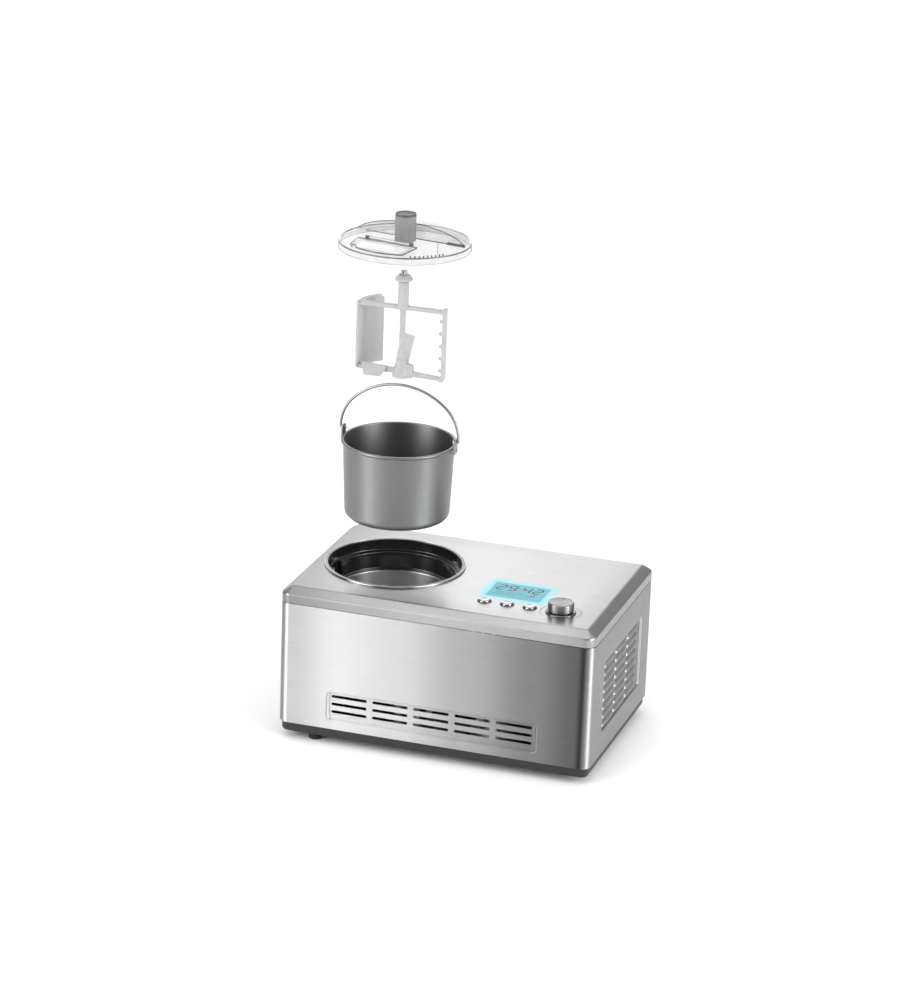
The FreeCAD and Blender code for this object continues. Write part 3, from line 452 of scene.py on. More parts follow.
MATERIALS = {
    # Painted reflection and shade: the brushed steel's colour is graded across the casing's width. It is
    # lightest a fifth of the way from the left, darker towards the right, with a narrow painted dark band
    # just short of the right-hand end.
    "brushed_steel": paint_reflection_grade(metal("brushed_steel", STEEL, 0.5, (60, 60, 1), across=(0, 0, 1), vary=0.02,
                                  depth=0.004, anisotropy=0.92),
                            ((0, 0.9), (0.035, 1.2), (0.2, 1.7), (0.38, 1.55), (0.6, 1.05), (0.82, 0.6),
                             (0.95, 0.34), (0.97, 0.12), (0.982, 0.7), (1, 1.15))),
    "screw_steel": metal("screw_steel", (0.55, 0.55, 0.56), 0.28, vary=0.05),
    "black_plastic": plastic("black_plastic", (0.012, 0.012, 0.013), 0.42, 0.6, 0.03),
    "black_rubber": plastic("black_rubber", (0.014, 0.014, 0.014), 0.72, 0.4, 0.03, specular=0.3),
    "black_chrome": metal("black_chrome", (0.16, 0.16, 0.17), 0.16, turned=True, depth=0.003),
    "vessel_metal": metal("vessel_metal", (0.62, 0.62, 0.62), 0.3, (1, 1, 0.4), turned=True),
    "copper": metal("copper", (0.78, 0.36, 0.22), 0.3, vary=0.06),
    "foam": plastic("foam", (0.72, 0.66, 0.46), 0.9, 1.6, 0.5),
    "motor_steel": metal("motor_steel", (0.42, 0.42, 0.43), 0.36),
    "bronze": metal("bronze", (0.56, 0.38, 0.18), 0.34),
    "gear_nylon": plastic("gear_nylon", (0.74, 0.72, 0.66), 0.42, subsurface=0.2),
    "compressor_black": plastic("compressor_black", (0.02, 0.02, 0.021), 0.3, 2.0, 0.06, coat=0.4),
    "fin_aluminium": metal("fin_aluminium", (0.7, 0.71, 0.72), 0.34, (1, 20, 1)),
    "lit_display": lit_display(),
    "button_steel": metal("button_steel", (0.42, 0.42, 0.425), 0.14, turned=True, depth=0.002),
    "knob_metal": metal("knob_metal", (0.27, 0.265, 0.26), 0.34, (1, 1, 0.3), turned=True, depth=0.004),
    "circuit_board": plastic("circuit_board", (0.02, 0.12, 0.05), 0.35, 0.8, 0.02, coat=0.3),
    "bucket_aluminium": metal("bucket_aluminium", (0.22, 0.22, 0.22), 0.42, grain_size=0.5, turned=True,
                              anisotropy=0.5, depth=0.008, vary=0.03),
    "bail_wire": metal("bail_wire", (0.3, 0.3, 0.303), 0.34, grain_size=0.4, vary=0.04),
    "paddle_plastic": plastic("paddle_plastic", (0.4, 0.4, 0.4), 0.42, 1.2, 0.03, subsurface=0.1,
                              specular=0.3, light=(0.55, 0.55, 0.55)),
    "clear_lid": clear("clear_lid", (0.3, 0.3, 0.304), cover=0.2),
    "tower_grey": plastic("tower_grey", (0.2, 0.2, 0.202), 0.3, 0.8, 0.02, coat=0.3, light=(0.5, 0.5, 0.5)),
}
# Painted shade: a dark, nearly opaque clear material that draws the dark lines along the lid's edges, ribs
# and knuckles.
PAINTED_EDGE_SHADE = clear("clear_painted_edge_shade", (0.045, 0.045, 0.047), 0.2, 0.85)
INK = plastic("printed_ink", (0.03, 0.03, 0.032), 0.4, 0.5, 0.01)
LCD_INK = plastic("lcd_ink", (0.004, 0.03, 0.045), 0.3, 0.5, 0.005, specular=0.2)
COLLAR_GLOSS = plastic("collar_gloss", (0.01, 0.01, 0.011), 0.14, 3.0, 0.02, coat=0.8)
COVER_STEEL = cover_steel()


def dress_cad_nodes():
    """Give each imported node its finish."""
    for item in nodes.values():
        for i, old in enumerate(item.data.materials):
            item.data.materials[i] = MATERIALS[old.name.split(".")[0]]


# ---- casing -----------------------------------------------------------------------------------------

def make_cover():
    """Pressed cover: a hem, an upright band, a bevel and a flat top with the holes of the controls."""
    half_x = COVER_HIGH.x / MM
    half_y = COVER_HIGH.y / MM
    low = COVER_LOW.z / MM
    top = TOP / MM
    corner, sheet, run, drop = 14, 1.2, 13.4, 8

    def shell(inset, height):
        side = [(inset + 0.7, low), (inset, low + 0.8), (inset, height - drop), (inset + run, height),
                (inset + run + 12, height)]
        return softened(side, 2.0, 4, closed=False)

    def ring(inset, height):
        return [Vector((x, y, height)) * MM for x, y in
                plan(half_x - inset, half_y - inset, max(corner - inset, 0.7))]

    mesh = bmesh.new()
    outer = [ring(*point) for point in shell(0, top)]
    inner = [ring(*point) for point in shell(sheet, top - sheet)]
    skin(mesh, list(reversed(outer)) + inner, caps=(True, True))
    cover = from_mesh("cover_pressing", mesh)
    cuts = bmesh.new()
    holes = [plan(90.35, 90.35, 90.34, 24)]
    centres = [WELL]
    for name, reach in (("left_button", 8.4), ("middle_button", 8.4), ("right_button", 8.4),
                        ("control_knob", 4.5)):
        holes.append(plan(reach, reach, reach - 0.01, 8))
        centres.append(middle(name))
    low_corner, high_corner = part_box("display_window")
    size = (high_corner - low_corner) / MM
    holes.append(plan(size.x / 2 + 0.1, size.y / 2 + 0.1, 1.6, 5))
    centres.append((low_corner + high_corner) / 2)
    for hole, centre in zip(holes, centres):
        add_prism(cuts, hole, lambda point, d, c=centre: Vector((c.x + point.x * MM, c.y + point.y * MM, d)),
                  (TOP - 0.006, TOP + 0.006))
    carve(cover, cuts)
    smooth(cover, 30, weighted=True)
    place_piece(cover, "casing", "brushed_steel", "top_cover", material=COVER_STEEL)


def stadium(length, width):
    """A slot with round ends, centred."""
    return plan(length / 2, width / 2, width / 2 - 0.001, 6)


def make_wrap():
    """Sheet wrapped round the front and the sides, with rolled edges and the openings of the grilles."""
    half_x = WRAP_HIGH.x / MM
    half_y = WRAP_HIGH.y / MM
    low, high = WRAP_LOW.z / MM, WRAP_HIGH.z / MM
    corner, sheet, rear_end = 14, 1.2, 198.5

    def path(inset):
        loop = plan(half_x - inset, half_y - inset, corner - inset, 10, -90)
        count = len(loop) // 4
        right_rear = loop[count:2 * count]
        left_rear = loop[2 * count:3 * count]
        start = Vector((-rear_end, half_y - inset))
        end = Vector((rear_end, half_y - inset))
        return [start] + left_rear + loop[3 * count:] + loop[:count] + right_rear + [end]

    def ring(inset, height):
        return [Vector((x, y, height)) * MM for x, y in path(inset)]

    profile = [(0.5, low), (0, low + 0.7), (0, high - 1.3), (0.35, high - 0.4), (0.8, high),
               (sheet, high - 0.4), (sheet, low + 0.3)]
    rings = [ring(*point) for point in profile]
    mesh = bmesh.new()
    skin(mesh, rings + [rings[0]], closed=False)
    bmesh.ops.remove_doubles(mesh, verts=mesh.verts, dist=1e-7)
    bmesh.ops.holes_fill(mesh, edges=mesh.edges, sides=20)
    wrap = from_mesh("wrap_sheet", mesh)
    cuts = bmesh.new()
    for _, half_u, half_v, place in grille_frames():
        add_prism(cuts, plan(half_u + 0.05, half_v + 0.05, 8, 8), place, (-6, 6))
    carve(wrap, cuts)
    smooth(wrap, 30, weighted=True)
    place_piece(wrap, "casing", "brushed_steel", "body_wrap")


def grille_frames():
    """Each grille: its node, its half sizes, and the place of a point of its face at a depth."""
    frames = []
    low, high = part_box("front_grille")
    centre = (low + high) / 2 / MM
    face = WRAP_LOW.y / MM
    frames.append(("front_grille", (high.x - low.x) / 2 / MM, (high.z - low.z) / 2 / MM,
                   lambda point, d, c=centre, f=face: Vector((c.x + point[0], f + d, c.z + point[1])) * MM))
    low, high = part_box("side_grille")
    centre = (low + high) / 2 / MM
    face = WRAP_HIGH.x / MM
    frames.append(("side_grille", (high.y - low.y) / 2 / MM, (high.z - low.z) / 2 / MM,
                   lambda point, d, c=centre, f=face: Vector((f - d, c.y + point[0], c.z + point[1])) * MM))
    return frames


def pressed_pan(name, half_u, half_v, place, slots):
    """A pan pressed into a panel: a rounded lip, a sunk floor and slots through it."""
    lip = softened([(0, 0.02), (2.2, 0.25), (3.4, 3.0), (8, 3.0)], 2.0, 4, closed=False)
    sheet = 1.0
    front = [[place(point, depth) for point in plan(half_u - inset, half_v - inset, max(8 - inset, 1.5), 8)]
             for inset, depth in lip]
    back = [[place(point, depth + sheet)
             for point in plan(half_u - inset, half_v - inset, max(8 - inset, 1.5), 8)]
            for inset, depth in lip]
    mesh = bmesh.new()
    skin(mesh, list(reversed(front)) + back, caps=(True, True))
    pan = from_mesh(name, mesh)
    cuts = bmesh.new()
    for u, v, length, width in slots:
        shape = [(point.x + u, point.y + v) for point in stadium(length, width)]
        add_prism(cuts, shape, place, (1.5, 6))
    carve(pan, cuts)
    smooth(pan, 30, weighted=True)
    return pan


def make_grilles():
    """The front grille's rows of slots, and the side grille's hooded louvres."""
    front, side = grille_frames()
    name, half_u, half_v, place = front
    slots = [(-half_u + 7 + 48.5 / 2 + 56.1 * column, -half_v + 11.4 + 1.8 + 10.7 * row, 48.5, 3.9)
             for column in range(5) for row in range(3)]
    pan = pressed_pan("front_grille_pan", half_u, half_v, place, slots)
    place_piece(pan, "casing", "brushed_steel", name)
    name, half_u, half_v, place = side
    columns, rows, length = 3, 8, 47
    spots = [(-half_u + 8 + length / 2 + 54 * column, -half_v + 8 + 1.7 + 11.7 * row)
             for column in range(columns) for row in range(rows)]
    pan = pressed_pan("side_grille_pan", half_u, half_v, place, [(u, v, length - 4, 3.4) for u, v in spots])
    mesh = bmesh.new()
    steps_u, steps_v = 24, 6
    for u, v in spots:
        rings = []
        for j in range(steps_v + 1):
            t = j / steps_v
            ring = []
            for i in range(steps_u + 1):
                s = i / steps_u * 2 - 1
                end = math.sqrt(max(0, 1 - max(0, (abs(s) - 0.86) / 0.14) ** 2))
                rise = 2.5 * end * (1 - t * t)
                ring.append(place((u + s * length / 2, v - 1.9 + 6.2 * t), 2.9 - rise))
            rings.append(ring)
        skin(mesh, rings, closed=False)
    hoods = from_mesh("side_grille_hoods", mesh)
    thick = hoods.modifiers.new("thick", "SOLIDIFY")
    thick.thickness = 0.5 * MM
    thick.offset = 0
    settle(hoods)
    smooth(hoods, 60)
    place_piece(pan, "casing", "brushed_steel", name)
    place_piece(hoods, "casing", "brushed_steel")


def make_feet():
    """Rubber feet with a soft foot edge and a screw recess."""
    mesh = bmesh.new()
    for x, y in ((-165, -125), (158, -92), (-165, 115), (158, 115)):
        outline = [(2.6, 5), (2.6, 1.2), (5.4, 1.2), (5.8, 0), (7.2, 0), (8.3, 1.1), (8.1, 9), (8.7, 13.9),
                   (2.6, 13.9)]
        add_turned(mesh, outline, Vector((x, y, 0)) * MM, 48, 0.7)
    feet = from_mesh("foot_pads", mesh)
    smooth(feet, 50)
    place_piece(feet, "casing", "black_rubber", "rubber_feet")


# ---- well -------------------------------------------------------------------------------------------

def make_well():
    """Moulded collar with its ledge and the two ear notches, the polished trim ring and the vessel."""
    centre = Vector((WELL.x, WELL.y, 0))
    top = TOP / MM
    ledge, rim, floor = 197, 172, 87
    mesh = bmesh.new()
    outline = [(88.5, top + 1.4), (89.3, top + 2), (91.5, top + 2), (91.5, top), (90.3, top),
               (90.3, ledge - 4), (88.3, ledge - 5), (88.3, rim), (77.8, rim), (77.8, rim + 1.6),
               (80.0, rim + 3.2), (80.5, ledge - 0.3), (88.4, ledge + 0.4)]
    add_turned(mesh, outline, centre, 192, 0.8)
    collar = from_mesh("collar_moulding", mesh)
    cuts = bmesh.new()
    for side in (-1, 1):
        shape = [Vector((side * 82.5, 0)) + point for point in plan(4, 13, 1.2, 4)]
        add_prism(cuts, shape, lambda point, d: centre + Vector((point[0], point[1], d)) * MM,
                  (rim + 2, top + 6))
    carve(collar, cuts)
    smooth(collar, 35)
    place_piece(collar, "casing", "black_plastic", "well_collar", material=COLLAR_GLOSS)
    mesh = bmesh.new()
    add_turned(mesh, [(91.6, top), (93.6, top), (93.6, top + 1.4), (92.9, top + 2.2), (91.6, top + 2.2)],
               centre, 192, 0.6)
    trim = from_mesh("trim_band", mesh)
    smooth(trim, 60)
    place_piece(trim, "casing", "button_steel", "well_trim_ring")
    mesh = bmesh.new()
    outline = [(8, floor - 2), (79.2, floor - 2), (79.2, rim), (78.2, rim), (77.2, rim - 0.8),
               (73.8, floor + 9), (71.5, floor + 3), (66.8, floor), (8, floor)]
    add_turned(mesh, outline, centre, 192, 1.2)
    vessel = from_mesh("vessel_drawn", mesh)
    smooth(vessel, 60)
    place_piece(vessel, "casing", "vessel_metal", "cooling_vessel")


# ---- controls ---------------------------------------------------------------------------------------

def segments(digit):
    """Lit bars of a numeral: top, upper left, upper right, middle, lower left, lower right, bottom."""
    lit = {0: "1110111", 1: "0010010", 2: "1011101", 3: "1011011", 4: "0111010", 5: "1101011", 6: "1101111",
           7: "1010010", 8: "1111111", 9: "1111011"}
    return [bar == "1" for bar in lit[digit]]


def add_bar(mesh, start, end, width, level, slant=0.12):
    """A flat numeral bar with pointed ends."""
    start, end = Vector(start), Vector(end)
    along = (end - start).normalized() * width / 2
    across = Vector((-along.y, along.x))
    shape = [start, start + along + across, end - along + across, end, end - along - across,
             start + along - across]
    low = [mesh.verts.new(Vector((x + y * slant, y, level)) * MM) for x, y in shape]
    high = [mesh.verts.new(Vector((x + y * slant, y, level + 0.06)) * MM) for x, y in shape]
    for i in range(6):
        mesh.faces.new((low[i], low[(i + 1) % 6], high[(i + 1) % 6], high[i]))
    mesh.faces.new(high)
    mesh.faces.new(list(reversed(low)))


def make_display():
    """Backlit window with a clock reading, a row of small marks and a progress bar."""
    low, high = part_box("display_window")
    centre = (low + high) / 2
    size = (high - low) / MM
    mesh = bmesh.new()
    side = softened([(0, -size.z / 2), (0, size.z / 2), (3, size.z / 2)], 0.5, 4, closed=False)
    rings = [[centre + Vector((x, y, z)) * MM
              for x, y in plan(size.x / 2 - inset, size.y / 2 - inset, 1.6, 5)] for inset, z in side]
    skin(mesh, rings, caps=(True, True))
    window = smooth(from_mesh("display_glass", mesh), 30, weighted=True)
    place_piece(window, "casing", "lit_display", "display_window")
    mesh = bmesh.new()
    level = size.z / 2 - 0.02
    wide, tall, gap, bar = 9.5, 17, 5.5, 2.9
    x = -30.5
    for digit in (2, 9, None, 4, 2):
        if digit is None:
            for y in (6, 12):
                add_bar(mesh, (x - 1.5, y - 1.2), (x + 0.9, y - 1.2), 2.0, level)
            x += 4
            continue
        left, right, base, mid, top = x, x + wide, 0.5, 0.5 + tall / 2, 0.5 + tall
        bars = (((left, top), (right, top)), ((left, mid), (left, top)), ((right, mid), (right, top)),
                ((left, mid), (right, mid)), ((left, base), (left, mid)), ((right, base), (right, mid)),
                ((left, base), (right, base)))
        for lit, (start, end) in zip(segments(digit), bars):
            if lit:
                start, end = Vector(start), Vector(end)
                trim = (end - start).normalized() * 0.2
                add_bar(mesh, start + trim, end - trim, bar, level)
        x += wide + gap
    for i in range(9):
        add_bar(mesh, (-27 + 4.2 * i, -7), (-24.4 + 4.2 * i, -7), 1.1, level)
        if i % 3:
            add_bar(mesh, (-27 + 4.2 * i, -10.5), (-24.4 + 4.2 * i, -10.5), 1.1, level)
    for i in range(4):
        add_bar(mesh, (13 + 3.6 * i, -13), (13 + 3.6 * i, -13 + 2 + 2.2 * i), 1.8, level, 0)
    add_bar(mesh, (-30, -15.5), (2, -15.5), 0.9, level)
    for vertex in mesh.verts:
        vertex.co += centre
    numerals = from_mesh("display_numerals", mesh)
    place_piece(numerals, "casing", "lit_display", material=LCD_INK)


def make_buttons():
    """Polished push buttons with a dished crown, in bright rings."""
    rings = bmesh.new()
    for name in ("left_button", "middle_button", "right_button"):
        low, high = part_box(name)
        centre = (low + high) / 2
        foot = Vector((centre.x, centre.y, 0))
        top = TOP / MM
        mesh = bmesh.new()
        outline = [(0, top - 8), (1.8, top - 8), (1.8, top - 2), (8, top - 1.6), (8, top + 1.7),
                   (7.0, top + 2.9), (5.6, top + 3.1), (3.4, top + 2.6), (0, top + 2.4)]
        add_turned(mesh, outline, foot, 64, 0.8, closed=False)
        cap = smooth(from_mesh(name + "_cap", mesh), 60)
        place_piece(cap, name, "button_steel", name)
        add_turned(rings, [(8.4, top), (9.6, top), (9.6, top + 0.5), (9.1, top + 1), (8.4, top + 1)], foot,
                   64, 0.35)
    bezels = smooth(from_mesh("button_bezels", rings), 60)
    place_piece(bezels, "casing", "black_chrome", "button_rings")


def make_knob():
    """Turned timer knob with a chamfer and a pointer notch, its dark collar and the printed arcs round it."""
    low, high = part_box("control_knob")
    foot = Vector(((low.x + high.x) / 2, (low.y + high.y) / 2, 0))
    top = TOP / MM
    mesh = bmesh.new()
    reach = (high.x - low.x) / 2 / MM - 0.15
    crown = high.z / MM - 0.1
    outline = [(0, top + 2.4), (reach - 1, top + 2.4), (reach - 1, top + 3.4), (reach, top + 3.8),
               (reach, crown - 1.3), (reach - 1.1, crown), (reach - 1.9, crown), (reach - 2.3, crown - 0.3),
               (0, crown - 0.4)]
    add_turned(mesh, outline, foot, 180, 0.35, closed=False)
    knob = from_mesh("knob_turned", mesh)
    cuts = bmesh.new()
    add_prism(cuts, plan(0.55, 3.2, 0.5, 4),
              lambda point, d: foot + Vector((point[0], point[1] + 11, d)) * MM, (crown - 0.9, crown + 3))
    carve(knob, cuts)
    smooth(knob, 40)
    place_piece(knob, "knob", "knob_metal", "control_knob")
    mesh = bmesh.new()
    add_turned(mesh, [(4.6, top), (20, top), (20, top + 1.0), (18.6, top + 1.9), (16.5, top + 1.5),
                      (4.6, top + 1.5)],
               foot, 128, 0.5)
    collar = smooth(from_mesh("knob_bezel", mesh), 50)
    place_piece(collar, "casing", "black_chrome", "knob_collar")
    mesh = bmesh.new()
    for first, last, radius, width in ((118, 232, 26.6, 0.9), (-42, 62, 26.6, 0.9), (-36, 56, 23.8, 0.5)):
        rings = []
        for i in range(33):
            angle = math.radians(first + (last - first) * i / 32)
            taper = width * (0.35 + 0.65 * math.sin(math.pi * i / 32))
            rings.append([foot + Vector((r * math.cos(angle), r * math.sin(angle), z)) * MM for r, z in
                          ((radius - taper / 2, top - 0.02), (radius + taper / 2, top - 0.02),
                           (radius + taper / 2, top + 0.05), (radius - taper / 2, top + 0.05))])
        skin(mesh, rings, caps=(True, True))
    arcs = from_mesh("dial_arcs", mesh)
    place_piece(arcs, "casing", "black_plastic", material=INK)


# ---- bucket and bail --------------------------------------------------------------------------------

def make_bucket():
    """Drawn bucket with a rolled rim, a round bottom corner and the centre boss."""
    low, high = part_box("bucket")
    foot = Vector(((low.x + high.x) / 2, 0, low.z))
    mesh = bmesh.new()
    round_out = [(59.3 + 10 * math.sin(a), 10 - 10 * math.cos(a)) for a in
                 (math.radians(9 * i) for i in range(11))]
    round_in = [(58.9 + 9 * math.sin(a), 11 - 9 * math.cos(a)) for a in
                (math.radians(9 * i) for i in reversed(range(11)))]
    rim = [(73.1, 100.6), (74.6, 101.4), (76, 102.3), (76, 104.1), (75.1, 105), (72.6, 105), (71.7, 104.2)]
    outline = [(6, 0), (40, 0), (41, 0.35), (52, 0.35), (53, 0)] + round_out + rim + round_in + \
              [(30, 2), (12, 2.1), (9.3, 2.5), (8.5, 3.4), (8.3, 9.4), (7.8, 10), (6, 10)]
    add_turned(mesh, outline, foot, 192, 0.7)
    bucket = smooth(from_mesh("bucket_drawn", mesh), 60)
    place_piece(bucket, "bucket", "bucket_aluminium", "bucket")


def make_ears():
    """Riveted ears: round-shouldered plates with an eyelet for the bail."""
    low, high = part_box("bucket_ears")
    bail_low, bail_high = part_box("bail")
    pivot = bail_low.z + (bail_high.y - bail_low.y) / 2
    centre_x = (low.x + high.x) / 2
    mesh = bmesh.new()
    for side in (-1, 1):
        def place(point, d, s=side):
            return Vector((centre_x + s * d * MM, point[0] * MM, pivot + point[1] * MM))
        shape = softened([(-7, -16), (7, -16), (7, 1.0), (5.2, 4.6), (-5.2, 4.6), (-7, 1.0)], 3.0, 5)
        add_prism(mesh, shape, place, (76.05, 78.4))
    ears = from_mesh("ear_plates", mesh)
    cuts = bmesh.new()
    for side in (-1, 1):
        add_prism(cuts, plan(1.95, 1.95, 1.94, 8), lambda point, d, s=side:
                  Vector((centre_x + s * d * MM, point[0] * MM, pivot + point[1] * MM)), (70, 84))
    carve(ears, cuts)
    settle(round_edges(ears, 0.5, 3, 40))
    smooth(ears, 50)
    details = bmesh.new()
    for side in (-1, 1):
        for y, z, outline in ((0, 0, [(1.95, 2.3), (3.5, 2.3), (3.5, 2.9), (2.7, 3.2), (1.95, 2.9)]),
                              (-4, -12, [(0, 2), (1.7, 2.2), (1.5, 3.0), (0, 3.6)]),
                              (4, -12, [(0, 2), (1.7, 2.2), (1.5, 3.0), (0, 3.6)])):
            part = bmesh.new()
            add_turned(part, outline, Vector(), 32, 0.3, closed=y == 0)
            spin = Matrix.Rotation(math.radians(90 * side), 4, "Y")
            shift = Matrix.Translation(Vector((centre_x + side * 76 * MM, y * MM, pivot + z * MM)))
            bmesh.ops.transform(part, matrix=shift @ spin, verts=part.verts)
            data = bpy.data.meshes.new("part")
            part.to_mesh(data)
            details.from_mesh(data)
            part.free()
            bpy.data.meshes.remove(data)
    rivets = smooth(from_mesh("ear_eyelets", details), 60)
    place_piece(ears, "bucket", "bucket_aluminium", "bucket_ears", material=MATERIALS["bail_wire"])
    place_piece(rivets, "bucket", "bucket_aluminium", material=MATERIALS["button_steel"])


def make_bail():
    """Round wire bail: a three-centred arch with its ends turned in as pins."""
    low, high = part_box("bail")
    wire = (high.y - low.y) / 2
    half = (high.x - low.x) / 2 - wire
    base = low.z + wire
    centre_x = (low.x + high.x) / 2
    elbow, haunch, pin = 2.3 * MM, 56 * MM, 73.5 * MM
    rise = high.z - wire - base - elbow
    offset = half - haunch
    sunk = (offset ** 2 - (rise - haunch) ** 2) / (2 * (rise - haunch))
    crown = rise + sunk
    lean = math.atan2(sunk, offset)
    right = [(pin, 0)]
    for i in range(9):
        angle = math.radians(-90 + 90 * i / 8)
        right.append((half - elbow + elbow * math.cos(angle), elbow + elbow * math.sin(angle)))
    for i in range(1, 17):
        angle = lean * i / 16
        right.append((offset + haunch * math.cos(angle), elbow + haunch * math.sin(angle)))
    for i in range(1, 25):
        angle = lean + (math.pi / 2 - lean) * i / 24
        right.append((crown * math.cos(angle), elbow - sunk + crown * math.sin(angle)))
    path = right + [(-x, z) for x, z in reversed(right[:-1])]
    mesh = bmesh.new()
    sweep(mesh, [Vector((centre_x + x, 0, base + z)) for x, z in path], wire, 24)
    bail = smooth(from_mesh("bail_bent", mesh), 60)
    place_piece(bail, "bail", "bail_wire", "bail")


# ---- paddle -----------------------------------------------------------------------------------------

def add_block(mesh, corners):
    """A block from four lower corners and four upper corners, each round the block."""
    lower = [mesh.verts.new(Vector(point)) for point in corners[:4]]
    upper = [mesh.verts.new(Vector(point)) for point in corners[4:]]
    for i in range(4):
        j = (i + 1) % 4
        mesh.faces.new((lower[i], lower[j], upper[j], upper[i]))
    mesh.faces.new(upper)
    mesh.faces.new(list(reversed(lower)))


def box_corners(x0, x1, y0, y1, z0, z1):
    """Corners of a straight block."""
    return [(x0, y0, z0), (x1, y0, z0), (x1, y1, z0), (x0, y1, z0),
            (x0, y0, z1), (x1, y0, z1), (x1, y1, z1), (x0, y1, z1)]


def add_arc_wall(mesh, radius, thick, first, last, heights, steps=20):
    """A curved wall about the axis. heights(t) gives its bottom and top along the arc."""
    rings = []
    for i in range(steps + 1):
        t = i / steps
        angle = math.radians(first + (last - first) * t)
        bottom, top = heights(t)
        rings.append([Vector((r * math.cos(angle), r * math.sin(angle), z)) for r, z in
                      ((radius - thick, bottom), (radius, bottom), (radius, top), (radius - thick, top))])
    skin(mesh, rings, caps=(True, True))


def make_paddle():
    """Moulded mixing paddle: stem, bar, curved blade, plough, hub, scoop, arm and pegged post."""
    low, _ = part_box("mixing_paddle")
    foot = Vector((WELL.x, WELL.y, low.z))
    mesh = bmesh.new()
    stem = [(3.9, 22), (3.9, 89.5), (7.1, 91.2), (7.1, 127.4), (4.4, 128.2), (4.4, 142.2), (3.7, 143)]
    rings = turn([(0.01, 22)] + stem + [(0.01, 143)], Vector(), 40)
    skin(mesh, [[point / MM for point in ring] for ring in rings], caps=(True, True))
    bell = [(10.4, 0.2), (12.2, 0.2), (11.9, 6), (10.4, 11.5), (8.4, 16), (7.2, 20.5), (4.2, 26), (0.01, 26),
            (0.01, 10.2), (7.6, 10.2), (10.1, 8.6)]
    rings = turn(bell, Vector(), 48)
    skin(mesh, [[point / MM for point in ring] for ring in rings + [rings[0]]])
    add_block(mesh, box_corners(-57, 58, -3.6, 3.6, 90.6, 95.8))
    add_arc_wall(mesh, 62, 3.2, 186, 133,
                 lambda t: (4 + 5 * max(0, 1 - 9 * t), 95.5 - 5 * max(0, 10 * t - 9)))
    add_arc_wall(mesh, 61.8, 8.4, 184, 150, lambda t: (90.8, 95.8))
    add_block(mesh, box_corners(55, 60, -4.6, 3.0, 3, 98.5))
    for i in range(5):
        z = 13 + 16.5 * i
        add_block(mesh, [(50.5, -2.6, z), (56, -3.2, z - 1.2), (56, 1.8, z - 1.2), (50.5, 1.2, z),
                         (50.5, -2.6, z + 3.4), (56, -3.2, z + 4.6), (56, 1.8, z + 4.6),
                         (50.5, 1.2, z + 3.4)])
    add_block(mesh, [(8, -4.2, 2.5), (57, -3.6, 1.2), (57, 3, 1.2), (8, 3.4, 2.5),
                     (8, -4.2, 9), (57, -3.6, 5.6), (57, 3, 5.6), (8, 3.4, 9)])
    add_block(mesh, [(8.6, -5.6, 0.6), (17, -5.6, 0.6), (17, 4.6, 0.6), (8.6, 4.6, 0.6),
                     (7, -5.2, 19), (15.5, -4.8, 17), (15.5, 4.0, 17), (7, 4.2, 19)])
    add_block(mesh, [(52, -4.4, 0.2), (57.5, -4.4, 0.2), (57.5, 0.6, 0.2), (52, 0.6, 0.2),
                     (54.5, -4.4, 6), (60, -4.4, 6), (60, 2.6, 6), (54.5, 2.6, 6)])
    add_block(mesh, [(-60, -3.6, 5), (-8, -3.6, 4.4), (-8, 3.4, 4.4), (-60, 3.4, 5),
                     (-60, -3.6, 10.5), (-8, -3.6, 10.8), (-8, 3.4, 10.8), (-60, 3.4, 10.5)])
    add_block(mesh, [(-47, -15, 0.4), (-24, -14, 0.4), (-24, -11.2, 0.4), (-47, -12.2, 0.4),
                     (-54, -3.6, 14.5), (-18, -3.6, 13), (-18, -0.6, 13), (-54, -0.6, 14.5)])
    steps = 14
    rings = []
    for i in range(steps + 1):
        t = i / steps
        left = Vector((-6.5 + 9.5 * t ** 1.6, -4.6 + 2.4 * t, 21 + 39 * t))
        right = Vector((8.5 + 9.0 * t, 3.6 - 3.2 * t, 20 + 36.5 * t))
        out = Vector((0.3, -1, 0)).normalized() * 1.4
        rings.append([left - out, right - out, right + out, left + out])
    skin(mesh, rings, caps=(True, True))
    bmesh.ops.scale(mesh, vec=Vector((MM, MM, MM)), verts=mesh.verts)
    bmesh.ops.translate(mesh, vec=foot, verts=mesh.verts)
    paddle = from_mesh("paddle_moulding", mesh)
    grain = 0.6
    remesh = paddle.modifiers.new("remesh", "REMESH")
    remesh.mode = "VOXEL"
    remesh.voxel_size = grain * MM
    settle(paddle)
    cuts = bmesh.new()
    add_prism(cuts, plan(0.8, 8, 0.3, 3),
              lambda point, d: foot + Vector((point[0], point[1], d)) * MM, (137.6, 150))
    carve(paddle, cuts)
    for reach, depth in ((10.1, (-2, 9.4)), (6.4, (8, 20))):
        socket = bmesh.new()
        add_prism(socket, plan(reach, reach, reach - 0.01, 10),
                  lambda point, d: foot + Vector((point[0], point[1], d)) * MM, depth)
        carve(paddle, socket)
    soft = paddle.modifiers.new("soft", "SMOOTH")
    soft.factor = 0.5
    soft.iterations = 5
    thin = paddle.modifiers.new("thin", "DECIMATE")
    thin.ratio = 0.35
    settle(paddle)
    smooth(paddle, 80)
    place_piece(paddle, "paddle", "paddle_plastic", "mixing_paddle")
    low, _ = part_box("paddle_bush")
    mesh = bmesh.new()
    add_turned(mesh, [(5.2, 0.1), (10.6, 0.1), (11.6, 1.4), (11.6, 3.4), (8.6, 6.4), (7.8, 7.9), (5.2, 7.9)],
               Vector((WELL.x, WELL.y, low.z)), 64, 0.8)
    bush = smooth(from_mesh("bush_collar", mesh), 50)
    place_piece(bush, "bush", "paddle_plastic", "paddle_bush")


# ---- lid --------------------------------------------------------------------------------------------

